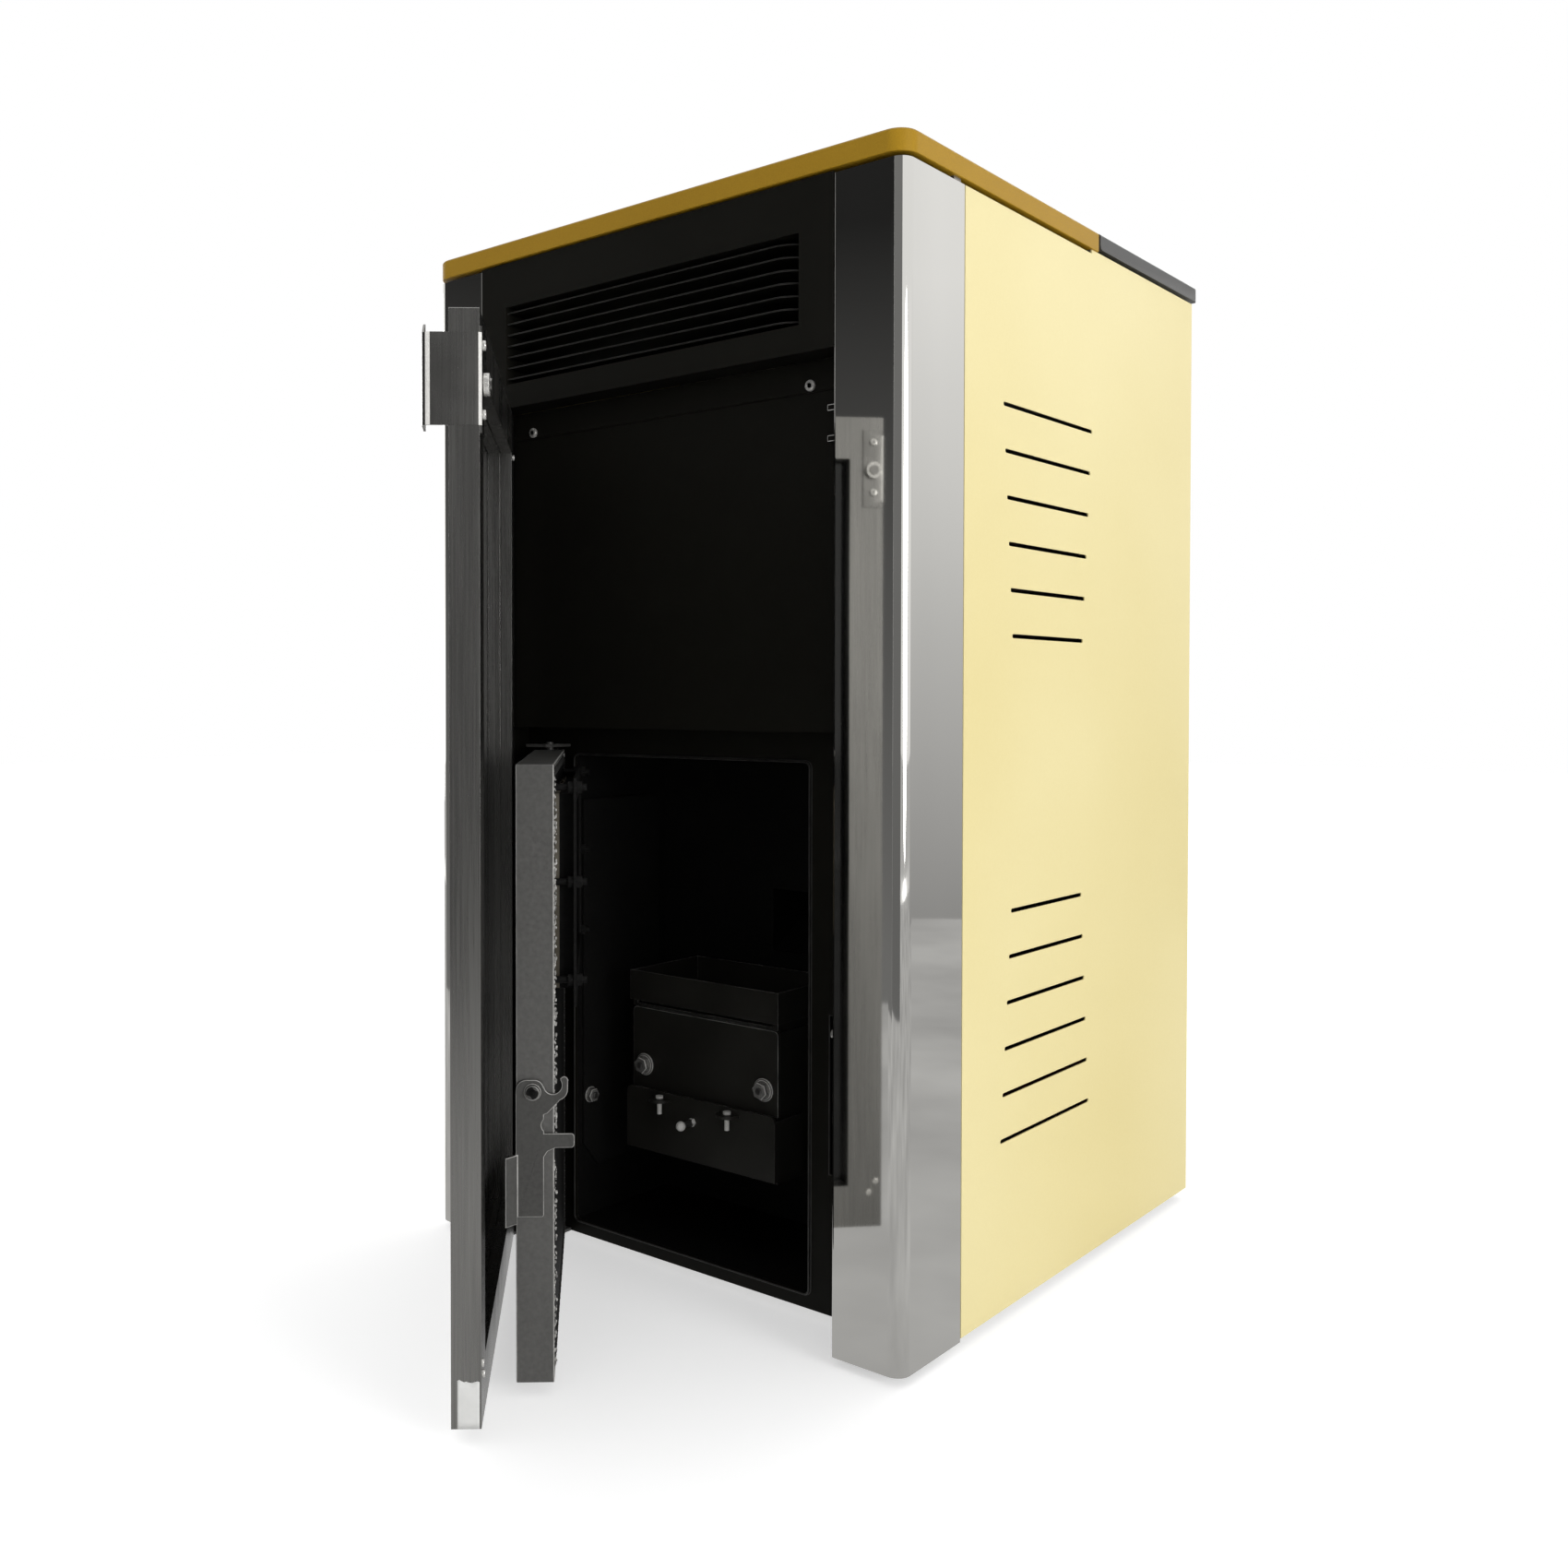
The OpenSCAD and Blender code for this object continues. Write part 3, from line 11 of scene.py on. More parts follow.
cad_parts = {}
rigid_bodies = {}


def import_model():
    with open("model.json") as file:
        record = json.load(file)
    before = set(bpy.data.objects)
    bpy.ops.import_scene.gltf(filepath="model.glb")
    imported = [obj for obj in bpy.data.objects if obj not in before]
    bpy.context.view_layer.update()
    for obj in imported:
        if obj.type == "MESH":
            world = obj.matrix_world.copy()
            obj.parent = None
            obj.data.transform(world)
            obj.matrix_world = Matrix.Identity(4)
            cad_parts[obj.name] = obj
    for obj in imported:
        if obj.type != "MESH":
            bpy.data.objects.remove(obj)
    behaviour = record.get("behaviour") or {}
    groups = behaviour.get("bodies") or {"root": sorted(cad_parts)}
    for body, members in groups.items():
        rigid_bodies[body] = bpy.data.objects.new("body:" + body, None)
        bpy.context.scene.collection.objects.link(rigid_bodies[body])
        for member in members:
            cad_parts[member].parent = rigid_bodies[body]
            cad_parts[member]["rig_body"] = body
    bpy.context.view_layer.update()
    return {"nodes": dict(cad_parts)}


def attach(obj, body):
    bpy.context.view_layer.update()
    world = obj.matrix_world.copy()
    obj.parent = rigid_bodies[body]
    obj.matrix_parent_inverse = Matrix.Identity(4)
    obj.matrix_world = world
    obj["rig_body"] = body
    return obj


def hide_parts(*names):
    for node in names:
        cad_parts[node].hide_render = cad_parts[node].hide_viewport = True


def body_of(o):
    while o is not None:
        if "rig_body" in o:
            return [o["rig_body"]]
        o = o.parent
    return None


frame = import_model()
nodes = frame["nodes"]

# Places and sizes on the stove, in metres

BODY_DEPTH = 0.640
BACK_FACE = 0.6412
FOOT = 0.008

DOOR_OPEN = math.radians(47.3)
OUTER_AXIS = (-0.206, 0.012)
FIRE_AXIS = (-0.172, 0.050)
DOOR_EDGE = 0.2215
DOOR_THICK = 0.024
DOOR_LOW = 0.004
FIRE_EDGE = 0.184

# The handle: its sheet, its gap to the door's edge, its bend, and where the painted highlight on
# its lip begins

HANDLE_THICK = 0.0018
HANDLE_GAP = 0.0003
HANDLE_BEND = 0.0026
LIP_FRONT = -0.0146
LIP_SIDE = DOOR_EDGE - 0.0009

# The grille

GRILLE_LOW = 0.909
GRILLE_RISE = 0.0115714
GRILLE_SLATS = 7

# The flap's tongues and the neck of its knob

TONGUE_HIGH = 0.160
TONGUE_HALF = 0.0016
KNOB_SEAT = (-0.007, 0.091, 0.143)
NECK_RADIUS = 0.0031
NECK_END = -0.0135

# Bolts of the burner, the side plates and the latch

BURNER_BOLT = (0.078, 0.099, 0.190)
WALL_BOLT = (0.149, 0.089, 0.147)
BETWEEN_BOLTS = 0.12
BOLT_ROOT = 0.0034
BOLT_CREST = 0.0040
BOLT_PITCH = 0.00125
WASHER_BORE = 0.0040
NUT_BORE = 0.0038
NUT_CHAMFER = 0.0008
CHAMFER_SLOPES = (0.2, 0.95)
LATCH_GAP = 0.0006
LATCH_THICK = 0.003
LATCH_PLAY = 0.0003
LATCH_BOLT = (0.048, 0.2506)

# Ways that a fastener's head can face

ALONG_X = (0, math.pi / 2, 0)
TO_FRONT = (math.pi / 2, 0, 0)
TO_BACK = (-math.pi / 2, 0, 0)

# How near points are merged, how flat faces are joined, and the sides of rings

DOUBLES = 0.000001
CAD_DOUBLES = 0.000002
FLAT = math.radians(0.3)
ROUND = 24
HEXAGON = 6


def at(x, d, h):
    """A point: x from the middle, d behind the posts' front and h over the posts' foot."""
    return Vector((x, d - BODY_DEPTH / 2, h + FOOT))


def swing(axis):
    """The turn that carries a point of a shut door to where the door stands open."""
    pivot = Matrix.Translation(at(axis[0], axis[1], 0))
    return pivot @ Matrix.Rotation(-DOOR_OPEN, 4, "Z") @ pivot.inverted()


OUTER_SWING = swing(OUTER_AXIS)
FIRE_SWING = swing(FIRE_AXIS)
OUTER_PLACE = OUTER_SWING @ Matrix.Translation(at(0, 0, 0))


def placed(x, d, h, turn, swung=None):
    """The move that carries a fastener from the origin to its seat, its head turned as given."""
    turned = Matrix.Identity(4)
    for angle, axis in zip(reversed(turn), "ZYX"):
        turned = turned @ Matrix.Rotation(angle, 4, axis)
    move = Matrix.Translation(at(x, d, h)) @ turned
    return swung @ move if swung else move


def lifted(height):
    """The move along a fastener's own axis."""
    return Matrix.Translation((0, 0, height))


# Effects shared by the finishes


def add(tree, kind, **settings):
    """Adds a shader node with values for its sockets and its own settings."""
    node = tree.nodes.new(kind)
    for key, value in settings.items():
        if key in node.inputs:
            node.inputs[key].default_value = value
        else:
            setattr(node, key, value)
    return node


def new_group(name, inputs, outputs):
    """A node group with named sockets, and the nodes for what goes in and what comes out."""
    tree = bpy.data.node_groups.new(name, "ShaderNodeTree")
    for socket, kind, value in inputs:
        made = tree.interface.new_socket(name=socket, in_out="INPUT", socket_type=kind)
        made.default_value = value
    for socket, kind in outputs:
        tree.interface.new_socket(name=socket, in_out="OUTPUT", socket_type=kind)
    return tree, tree.nodes.new("NodeGroupInput"), tree.nodes.new("NodeGroupOutput")


def make_grain():
    """Grain, brushing or cast texture: a noise stretched along an axis, over softer patches."""
    tree, given, out = new_group(
        "surface_grain",
        [
            ("Stretch", "NodeSocketVector", (1, 1, 1)),
            ("Scale", "NodeSocketFloat", 100.0),
            ("Detail", "NodeSocketFloat", 3.0),
            ("Dark", "NodeSocketColor", (0, 0, 0, 1)),
            ("Light", "NodeSocketColor", (1, 1, 1, 1)),
            ("Smooth", "NodeSocketFloat", 0.3),
            ("Rough", "NodeSocketFloat", 0.5),
            ("Height", "NodeSocketFloat", 0.0002),
            ("Patch Scale", "NodeSocketFloat", 6.0),
            ("Patch Stretch", "NodeSocketVector", (1, 1, 1)),
            ("Patch", "NodeSocketFloat", 0.3),
        ],
        [
            ("Color", "NodeSocketColor"),
            ("Roughness", "NodeSocketFloat"),
            ("Normal", "NodeSocketVector"),
        ],
    )
    link = tree.links.new
    place = add(tree, "ShaderNodeTexCoord")
    stretched = add(tree, "ShaderNodeVectorMath", operation="MULTIPLY")
    link(place.outputs["Object"], stretched.inputs[0])
    link(given.outputs["Stretch"], stretched.inputs[1])
    fine = add(tree, "ShaderNodeTexNoise", Roughness=0.55)
    link(stretched.outputs["Vector"], fine.inputs["Vector"])
    link(given.outputs["Scale"], fine.inputs["Scale"])
    link(given.outputs["Detail"], fine.inputs["Detail"])
    wide = add(tree, "ShaderNodeVectorMath", operation="MULTIPLY")
    link(place.outputs["Object"], wide.inputs[0])
    link(given.outputs["Patch Stretch"], wide.inputs[1])
    patches = add(tree, "ShaderNodeTexNoise", Detail=2.0, Roughness=0.4)
    link(wide.outputs["Vector"], patches.inputs["Vector"])
    link(given.outputs["Patch Scale"], patches.inputs["Scale"])
    blend = add(tree, "ShaderNodeMix")
    link(given.outputs["Patch"], blend.inputs["Factor"])
    link(fine.outputs["Fac"], blend.inputs["A"])
    link(patches.outputs["Fac"], blend.inputs["B"])
    spread = add(tree, "ShaderNodeMapRange", **{"From Min": 0.3, "From Max": 0.7})
    link(blend.outputs["Result"], spread.inputs["Value"])
    colour = add(tree, "ShaderNodeMix", data_type="RGBA")
    link(spread.outputs["Result"], colour.inputs["Factor"])
    link(given.outputs["Dark"], colour.inputs[6])
    link(given.outputs["Light"], colour.inputs[7])
    gloss = add(tree, "ShaderNodeMapRange")
    link(spread.outputs["Result"], gloss.inputs["Value"])
    link(given.outputs["Smooth"], gloss.inputs["To Min"])
    link(given.outputs["Rough"], gloss.inputs["To Max"])
    bump = add(tree, "ShaderNodeBump", Strength=1.0)
    link(fine.outputs["Fac"], bump.inputs["Height"])
    link(given.outputs["Height"], bump.inputs["Distance"])
    link(colour.outputs[2], out.inputs["Color"])
    link(gloss.outputs["Result"], out.inputs["Roughness"])
    link(bump.outputs["Normal"], out.inputs["Normal"])
    return tree


GRAIN = make_grain()
UPRIGHT = (1.0, 1.0, 0.012)
LONG_PATCH = (1.0, 1.0, 0.10)


def new_material(name):
    """A material that is made of nodes, and its nodes."""
    material = bpy.data.materials.new(name)
    material.use_nodes = True
    return material, material.node_tree


def finish(name, dark, light, smooth, rough, scale, height, stretch=(1, 1, 1), detail=3.0,
           patch=0.3, patch_scale=6.0, patch_stretch=(1, 1, 1), **shader):
    """A finish: grain between a dark and a light colour on one shader with its own values."""
    material, tree = new_material(name)
    surface = tree.nodes["Principled BSDF"]
    grain = tree.nodes.new("ShaderNodeGroup")
    grain.node_tree = GRAIN
    for socket, value in {
        "Stretch": stretch, "Scale": scale, "Detail": detail, "Dark": (*dark, 1),
        "Light": (*light, 1), "Smooth": smooth, "Rough": rough, "Height": height,
        "Patch": patch, "Patch Scale": patch_scale, "Patch Stretch": patch_stretch,
    }.items():
        grain.inputs[socket].default_value = value
    tree.links.new(grain.outputs["Color"], surface.inputs["Base Color"])
    tree.links.new(grain.outputs["Roughness"], surface.inputs["Roughness"])
    if height:
        tree.links.new(grain.outputs["Normal"], surface.inputs["Normal"])
    for socket, value in shader.items():
        surface.inputs[socket.replace("_", " ")].default_value = value
    return material


def grey(value):
    """The faintly warm grey of the steel, the paint and the soot."""
    return (value, value * 0.985, value * 0.94)


ochre = finish(
    "ochre_enamel", (0.36, 0.200, 0.010), (0.44, 0.255, 0.016), smooth=0.34, rough=0.46, scale=900,
    height=0.00002, Specular_IOR_Level=0.15,
)
cream = finish(
    "cream_enamel", (0.79, 0.675, 0.315), (0.865, 0.765, 0.415), smooth=0.18, rough=0.26, scale=500,
    height=0.000004, patch=0.85, patch_scale=2.4, Specular_IOR_Level=0.25,
)
polished = finish(
    "polished_steel", grey(0.64), grey(0.74), smooth=0.02, rough=0.05, scale=9, height=0.00010,
    stretch=(1, 1, 0.2), detail=1.0, patch=0.5, patch_scale=3.0, Metallic=1.0,
)
black_paint = finish(
    "black_paint", (0.0078, 0.0074, 0.0058), (0.0125, 0.0120, 0.0095), smooth=0.40, rough=0.52,
    scale=1400, height=0.00003, Specular_IOR_Level=0.08,
)
grey_lid = finish(
    "grey_enamel", grey(0.050), grey(0.080), smooth=0.40, rough=0.52, scale=1200, height=0.00004,
)
brushed = finish(
    "brushed_steel", grey(0.25), grey(0.38), smooth=0.22, rough=0.34, scale=900, height=0.00002,
    stretch=UPRIGHT, patch=0.45, patch_scale=30, patch_stretch=LONG_PATCH, Metallic=1.0,
)
handle_steel = finish(
    "handle_steel", grey(0.22), grey(0.33), smooth=0.20, rough=0.34, scale=900, height=0.00002,
    stretch=UPRIGHT, patch=0.6, patch_scale=24, Metallic=1.0,
)
black_glass = finish(
    "black_glass", (0.006, 0.006, 0.006), (0.008, 0.008, 0.008), smooth=0.03, rough=0.06, scale=4,
    height=0.0,
)
fire_glass = finish(
    "fire_glass", (0.06, 0.05, 0.035), (0.20, 0.18, 0.14), smooth=0.12, rough=0.45, scale=30,
    height=0.0, patch=0.8,
)
door_steel = finish(
    "door_steel", grey(0.085), grey(0.14), smooth=0.34, rough=0.5, scale=260, height=0.00004,
    patch=0.5, patch_scale=14, patch_stretch=LONG_PATCH, Metallic=0.35,
)
latch_steel = finish(
    "latch_steel", grey(0.080), grey(0.125), smooth=0.30, rough=0.44, scale=300, height=0.00004,
    patch=0.5, Metallic=0.7,
)
liner_black = finish(
    "liner_black", grey(0.005), grey(0.014), smooth=0.6, rough=0.8, scale=500, height=0.0001,
    Specular_IOR_Level=0.12,
)
furnace_black = finish(
    "furnace_black", grey(0.005), grey(0.011), smooth=0.5, rough=0.68, scale=300, height=0.00008,
    Specular_IOR_Level=0.10,
)
burner_grey = finish(
    "burner_grey", (0.022, 0.0210, 0.0178), (0.034, 0.0325, 0.0275), smooth=0.40, rough=0.58,
    scale=350, height=0.00006, patch=0.7, patch_scale=14, Metallic=0.3,
)
zinc = finish(
    "bright_zinc", grey(0.58), grey(0.90), smooth=0.16, rough=0.30, scale=500, height=0.00003,
    Metallic=0.55,
)
galvanised = finish(
    "galvanised_sheet", grey(0.30), grey(0.42), smooth=0.34, rough=0.5, scale=120, height=0.00003,
    patch=0.6, patch_scale=40.0, Metallic=0.9,
)
copper = finish(
    "copper_pipe", (0.52, 0.24, 0.13), (0.70, 0.36, 0.22), smooth=0.25, rough=0.42, scale=90,
    height=0.00002, Metallic=1.0,
)
brass = finish(
    "brass_thread", (0.50, 0.33, 0.12), (0.66, 0.46, 0.20), smooth=0.22, rough=0.38, scale=200,
    height=0.00002, Metallic=1.0,
)
vessel_red = finish(
    "vessel_red", (0.28, 0.014, 0.010), (0.36, 0.022, 0.016), smooth=0.3, rough=0.42, scale=700,
    height=0.00003,
)
motor_grey = finish(
    "motor_grey", grey(0.03), grey(0.05), smooth=0.4, rough=0.55, scale=500, height=0.00005,
)
plastic_black = finish(
    "black_plastic", (0.012, 0.012, 0.012), (0.02, 0.02, 0.02), smooth=0.35, rough=0.5, scale=900,
    height=0.00003,
)
switch_red = finish(
    "switch_red", (0.42, 0.02, 0.014), (0.5, 0.03, 0.02), smooth=0.2, rough=0.3, scale=600,
    height=0.00001,
)
rope_fibre = finish(
    "rope_fibre", grey(0.006), grey(0.055), smooth=0.6, rough=0.9, scale=900, height=0.0004,
    detail=5.0, patch=0.5, patch_scale=260, Specular_IOR_Level=0.15,
)
sealant = finish(
    "old_sealant", grey(0.06), grey(0.60), smooth=0.5, rough=0.8, scale=1200, height=0.0002,
    patch=0.8, patch_scale=260,
)
# A light satin finish that paints highlights: on the handle's lip and bend, the catch's edges, the
# nut chamfers and the flap's pins.
highlight_satin = finish(
    "highlight_satin", grey(0.70), grey(0.95), smooth=0.32, rough=0.5, scale=500, height=0.00003,
    patch=0.5, patch_scale=40,
)
nut_zinc = finish(
    "nut_zinc", grey(0.22), grey(0.40), smooth=0.16, rough=0.30, scale=700, height=0.00004,
    patch=0.5, patch_scale=200, Metallic=0.4,
)
# Light edges on the fire door, the latch and its bolt: partly wear, partly a painted highlight.
worn_highlight_edge = finish(
    "worn_highlight_edge", grey(0.24), grey(0.52), smooth=0.30, rough=0.45, scale=700, height=0.00004,
    patch=0.6, patch_scale=60,
)
# Lighter edges on the black front frame and the grille blades: partly rubbed paint, partly a
# painted highlight.
rubbed_highlight_edge = finish(
    "rubbed_highlight_edge", grey(0.035), grey(0.080), smooth=0.30, rough=0.48, scale=500, height=0.00004,
    patch=0.7, patch_scale=50, Metallic=0.4,
)
# Light edges on the burner's plates and pot: partly wear, partly a painted highlight.
burner_highlight_edge = finish(
    "burner_highlight_edge", grey(0.22), grey(0.80), smooth=0.30, rough=0.48, scale=500, height=0.00004,
    patch=0.8, patch_scale=45,
)
film_white = finish(
    "film_white", (0.74, 0.74, 0.72), (0.86, 0.86, 0.84), smooth=0.3, rough=0.5, scale=60,
    height=0.00002,
)

FINISHES = {
    ochre: ["top_plate"],
    cream: ["left_side_panel", "right_side_panel"],
    polished: ["left_post", "right_post"],
    black_paint: [
        "left_jamb", "right_jamb", "louvre_panel", "louvre_slats", "cover_strip", "cover_plate",
        "front_frame", "door_catch",
    ],
    grey_lid: ["hopper_lid"],
    brushed: ["outer_door_frame"],
    handle_steel: ["door_handle"],
    black_glass: ["outer_door_glass", "control_display"],
    fire_glass: ["fire_door_glass"],
    door_steel: ["fire_door_shell", "hinge_lugs"],
    latch_steel: ["fire_latch"],
    liner_black: ["fire_door_liner", "side_liners"],
    furnace_black: ["firebox", "water_jacket", "flue_tubes", "glass_retainer", "pellet_chute"],
    burner_grey: ["burner_support", "burner_pot", "burner_front", "burner_flap"],
    zinc: [
        "cover_screws", "latch_pin", "hex_nuts", "hopper_grid", "lid_hinges", "door_roller",
        "latch_pivot", "auger_screw", "fan_impeller",
    ],
    # The flap's pins are shown in the light satin, a painted highlight.
    highlight_satin: ["flap_pins"],
    galvanised: [
        "base_pan", "inner_frame", "back_panel", "smoke_duct", "hopper", "auger_tube",
        "fan_housing", "air_inlet",
    ],
    copper: ["water_pipes"],
    vessel_red: ["circulation_pump", "expansion_vessel"],
    motor_grey: ["auger_motor", "fan_motor"],
    plastic_black: ["levelling_feet", "mains_socket"],
    switch_red: ["mains_switch"],
    rope_fibre: ["door_rope"],
}
for material, names in FINISHES.items():
    for name in names:
        nodes[name].data.materials.clear()
        nodes[name].data.materials.append(material)

# Making and finishing pieces


def new_object(name, bm, material):
    """Turns a bmesh into an object at the origin, in one finish."""
    mesh = bpy.data.meshes.new(name)
    bm.to_mesh(mesh)
    bm.free()
    mesh.materials.append(material)
    made = bpy.data.objects.new(name, mesh)
    bpy.context.scene.collection.objects.link(made)
    return made


def piece(name, bm, material, body, replaced=(), angle=30):
    """A piece that rides on a body, smooth where its faces nearly line up and crisp elsewhere."""
    made = new_object(name, bm, material)
    for face in made.data.polygons:
        face.use_smooth = True
    made.data.set_sharp_from_angle(angle=math.radians(angle))
    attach(made, body)
    if replaced:
        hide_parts(*replaced)
    return made


def add_finish(made, material):
    """Gives a piece one more finish, and says which place in its list that took."""
    made.data.materials.append(material)
    return len(made.data.materials) - 1


def round_edges(made, width, edge=None, angle=32):
    """Rounds the edges that are sharper than an angle, in a finish of their own if one is given."""
    bevel = made.modifiers.new("edges", "BEVEL")
    bevel.width = width
    bevel.segments = 2
    bevel.limit_method = "ANGLE"
    bevel.angle_limit = math.radians(angle)
    bevel.harden_normals = True
    if edge:
        bevel.material = add_finish(made, edge)


def repaint(made, place, material, chosen):
    """Gives another finish to the faces whose middle, measured from a place, is chosen."""
    index = add_finish(made, material)
    back = place.inverted()
    for face in made.data.polygons:
        if chosen(back @ face.center):
            face.material_index = index


def paint_chamfer_highlights(made, axis, chosen):
    """Paints the chamfers of nuts and washers, the faces aslant to their axis, with a light finish
    that is a painted highlight.
    """
    index = add_finish(made, highlight_satin)
    low, high = CHAMFER_SLOPES
    for face in made.data.polygons:
        if low < abs(face.normal.dot(axis)) < high and chosen(face.center):
            face.material_index = index


def finish_part(bm, verts, move):
    """Merges a part's seam and poles, points its faces outwards and moves it to its seat."""
    bmesh.ops.remove_doubles(bm, verts=verts, dist=DOUBLES)
    left = [vert for vert in verts if vert.is_valid]
    faces = list(dict.fromkeys(face for vert in left for face in vert.link_faces))
    bmesh.ops.recalc_face_normals(bm, faces=faces)
    bmesh.ops.transform(bm, matrix=move, verts=left)


def linked(starts):
    """These vertices and every one joined to them by edges, in the order they are found."""
    found, queue = dict.fromkeys(starts), list(starts)
    while queue:
        for edge in queue.pop().link_edges:
            for vert in edge.verts:
                if vert not in found:
                    found[vert] = True
                    queue.append(vert)
    return list(found)


def loop_edges(verts):
    """The edges that run between these vertices."""
    inside = set(verts)
    return list(dict.fromkeys(
        edge for vert in verts for edge in vert.link_edges if inside.issuperset(edge.verts)
    ))


def last_verts(spun):
    """The vertices at which a spin ended."""
    return [item for item in spun["geom_last"] if isinstance(item, bmesh.types.BMVert)]


# Pieces that stand for a CAD node, with the rounded edges that folding, cutting, paint and use
# leave, and lighter edge finishes that are painted highlights, in places with wear as well


def handle_bend(bm):
    """Rounds the bend between the handle's plate and its flange behind the door, and gives the bend
    its second finish, a painted highlight.
    """
    shut = OUTER_PLACE.inverted()
    corner = Vector((DOOR_EDGE + HANDLE_GAP, DOOR_THICK + HANDLE_THICK))
    near = 0.0001
    edges = [
        edge for edge in bm.edges
        if all(((shut @ end.co).xy - corner).length < near for end in edge.verts)
    ]
    bmesh.ops.bevel(bm, geom=edges, offset=HANDLE_BEND, offset_type="OFFSET", segments=4,
                    profile=0.5, affect="EDGES", material=1)


def soften(name, width, edge=None, angle=32):
    """Shows a node with its sharp edges rounded."""
    bm = bmesh.new()
    bm.from_mesh(nodes[name].data)
    bmesh.ops.remove_doubles(bm, verts=bm.verts, dist=CAD_DOUBLES)
    bmesh.ops.dissolve_limit(bm, angle_limit=FLAT, verts=bm.verts, edges=bm.edges)
    if name == "door_handle":
        handle_bend(bm)
    made = piece(name + "_rounded", bm, nodes[name].data.materials[0],
                 body_of(nodes[name])[0], [name], angle)
    if "custom_normal" in made.data.attributes:
        made.data.attributes.remove(made.data.attributes["custom_normal"])
    round_edges(made, width, edge, angle)
    return made


# Widths of the rounded edges, by the finish that these edges show; None is the node's own, and the
# lighter finishes are painted highlights, the worn, rubbed and burner ones with wear as well

SOFT_EDGES = {
    None: {
        "outer_door_frame": 0.0009, "door_roller": 0.0006, "top_plate": 0.0008,
        "hopper_lid": 0.0010, "left_side_panel": 0.0003, "right_side_panel": 0.0003,
        "levelling_feet": 0.0008, "mains_socket": 0.0008, "latch_pin": 0.0006,
        "glass_retainer": 0.0005, "side_liners": 0.0006, "cover_plate": 0.0004,
        "louvre_panel": 0.0003, "cover_strip": 0.0003,
    },
    worn_highlight_edge: {"fire_door_shell": 0.0009, "fire_latch": 0.00055},
    rubbed_highlight_edge: {"front_frame": 0.0008},
    burner_highlight_edge: {"burner_front": 0.0011, "burner_flap": 0.0010, "burner_pot": 0.0011},
    highlight_satin: {"door_handle": 0.0008, "door_catch": 0.0006},
}
softened = {
    name: soften(name, width, edge)
    for edge, widths in SOFT_EDGES.items()
    for name, width in widths.items()
}
softened["flap_pins"] = soften("flap_pins", width=0.0002, angle=55)
for name in ("fire_latch", "fire_door_shell"):
    softened[name].modifiers["edges"].use_clamp_overlap = False
# The handle's curled lip gets a painted highlight in the light satin.
repaint(softened["door_handle"], OUTER_PLACE, highlight_satin,
        lambda middle: middle.y < LIP_FRONT and middle.x > LIP_SIDE)
repaint(softened["flap_pins"], Matrix.Translation(at(0, 0, TONGUE_HIGH)), burner_grey,
        lambda middle: abs(middle.z) < TONGUE_HALF)
repaint(softened["flap_pins"], Matrix.Translation(at(*KNOB_SEAT)), latch_steel,
        lambda middle: middle.xz.length < NECK_RADIUS and NECK_END < middle.y < 0)

# Round parts, nuts, screws and threads


def lathe(bm, profile, move):
    """A round part: a profile of (radius, height) points turned about its axis."""
    verts = [bm.verts.new((radius, 0, height)) for radius, height in profile]
    edges = [bm.edges.new(pair) for pair in zip(verts, verts[1:])]
    made = bmesh.ops.spin(bm, geom=verts + edges, cent=(0, 0, 0), axis=(0, 0, 1), dvec=(0, 0, 0),
                          angle=2 * math.pi, steps=28, use_merge=True, use_duplicate=False)
    finish_part(bm, linked(verts + last_verts(made)), move)


def ring(bm, segments, radius, height, capped=False):
    """A ring of points across the axis."""
    made = bmesh.ops.create_circle(bm, cap_ends=capped, segments=segments, radius=radius)
    bmesh.ops.translate(bm, verts=made["verts"], vec=(0, 0, height))
    return made["verts"]


def bridge_rings(bm, rings):
    """Joins each ring to the next by a band of faces."""
    for low, high in zip(rings, rings[1:]):
        bmesh.ops.bridge_loops(bm, edges=loop_edges(low) + loop_edges(high))


def washer(bm, inner, outer, thick, move):
    """A washer with the rim of its upper side taken off."""
    rim = 0.0003
    lathe(bm, [(inner, 0), (inner, thick), (outer - rim, thick), (outer, thick - rim), (outer, 0),
               (inner, 0)], move)


def nut(bm, across, thick, move):
    """A hexagon nut with its corners taken off at both ends."""
    corner = across / math.sqrt(3)
    outline = [(corner * 0.94, 0), (corner, NUT_CHAMFER), (corner, thick - NUT_CHAMFER),
               (corner * 0.94, thick)]
    rings = [ring(bm, HEXAGON, radius, height) for radius, height in outline]
    rings += [ring(bm, ROUND, NUT_BORE, height) for height in (thick, 0)]
    bridge_rings(bm, rings + rings[:1])
    finish_part(bm, [vert for verts in rings for vert in verts], move)


def socket_head(bm, radius, height, socket, move):
    """A round screw head with a domed rim and a hexagon socket."""
    rim = 0.3 * height
    outline = [(radius, 0), (radius, height - rim), (radius - 0.35 * rim, height - 0.3 * rim),
               (radius - rim, height)]
    rings = [ring(bm, ROUND, size, level) for size, level in outline]
    rings.append(ring(bm, HEXAGON, socket, height))
    rings.append(ring(bm, HEXAGON, socket, 0.35 * height, capped=True))
    bridge_rings(bm, rings)
    bmesh.ops.contextual_create(bm, geom=loop_edges(rings[0]))
    finish_part(bm, [vert for verts in rings for vert in verts], move)


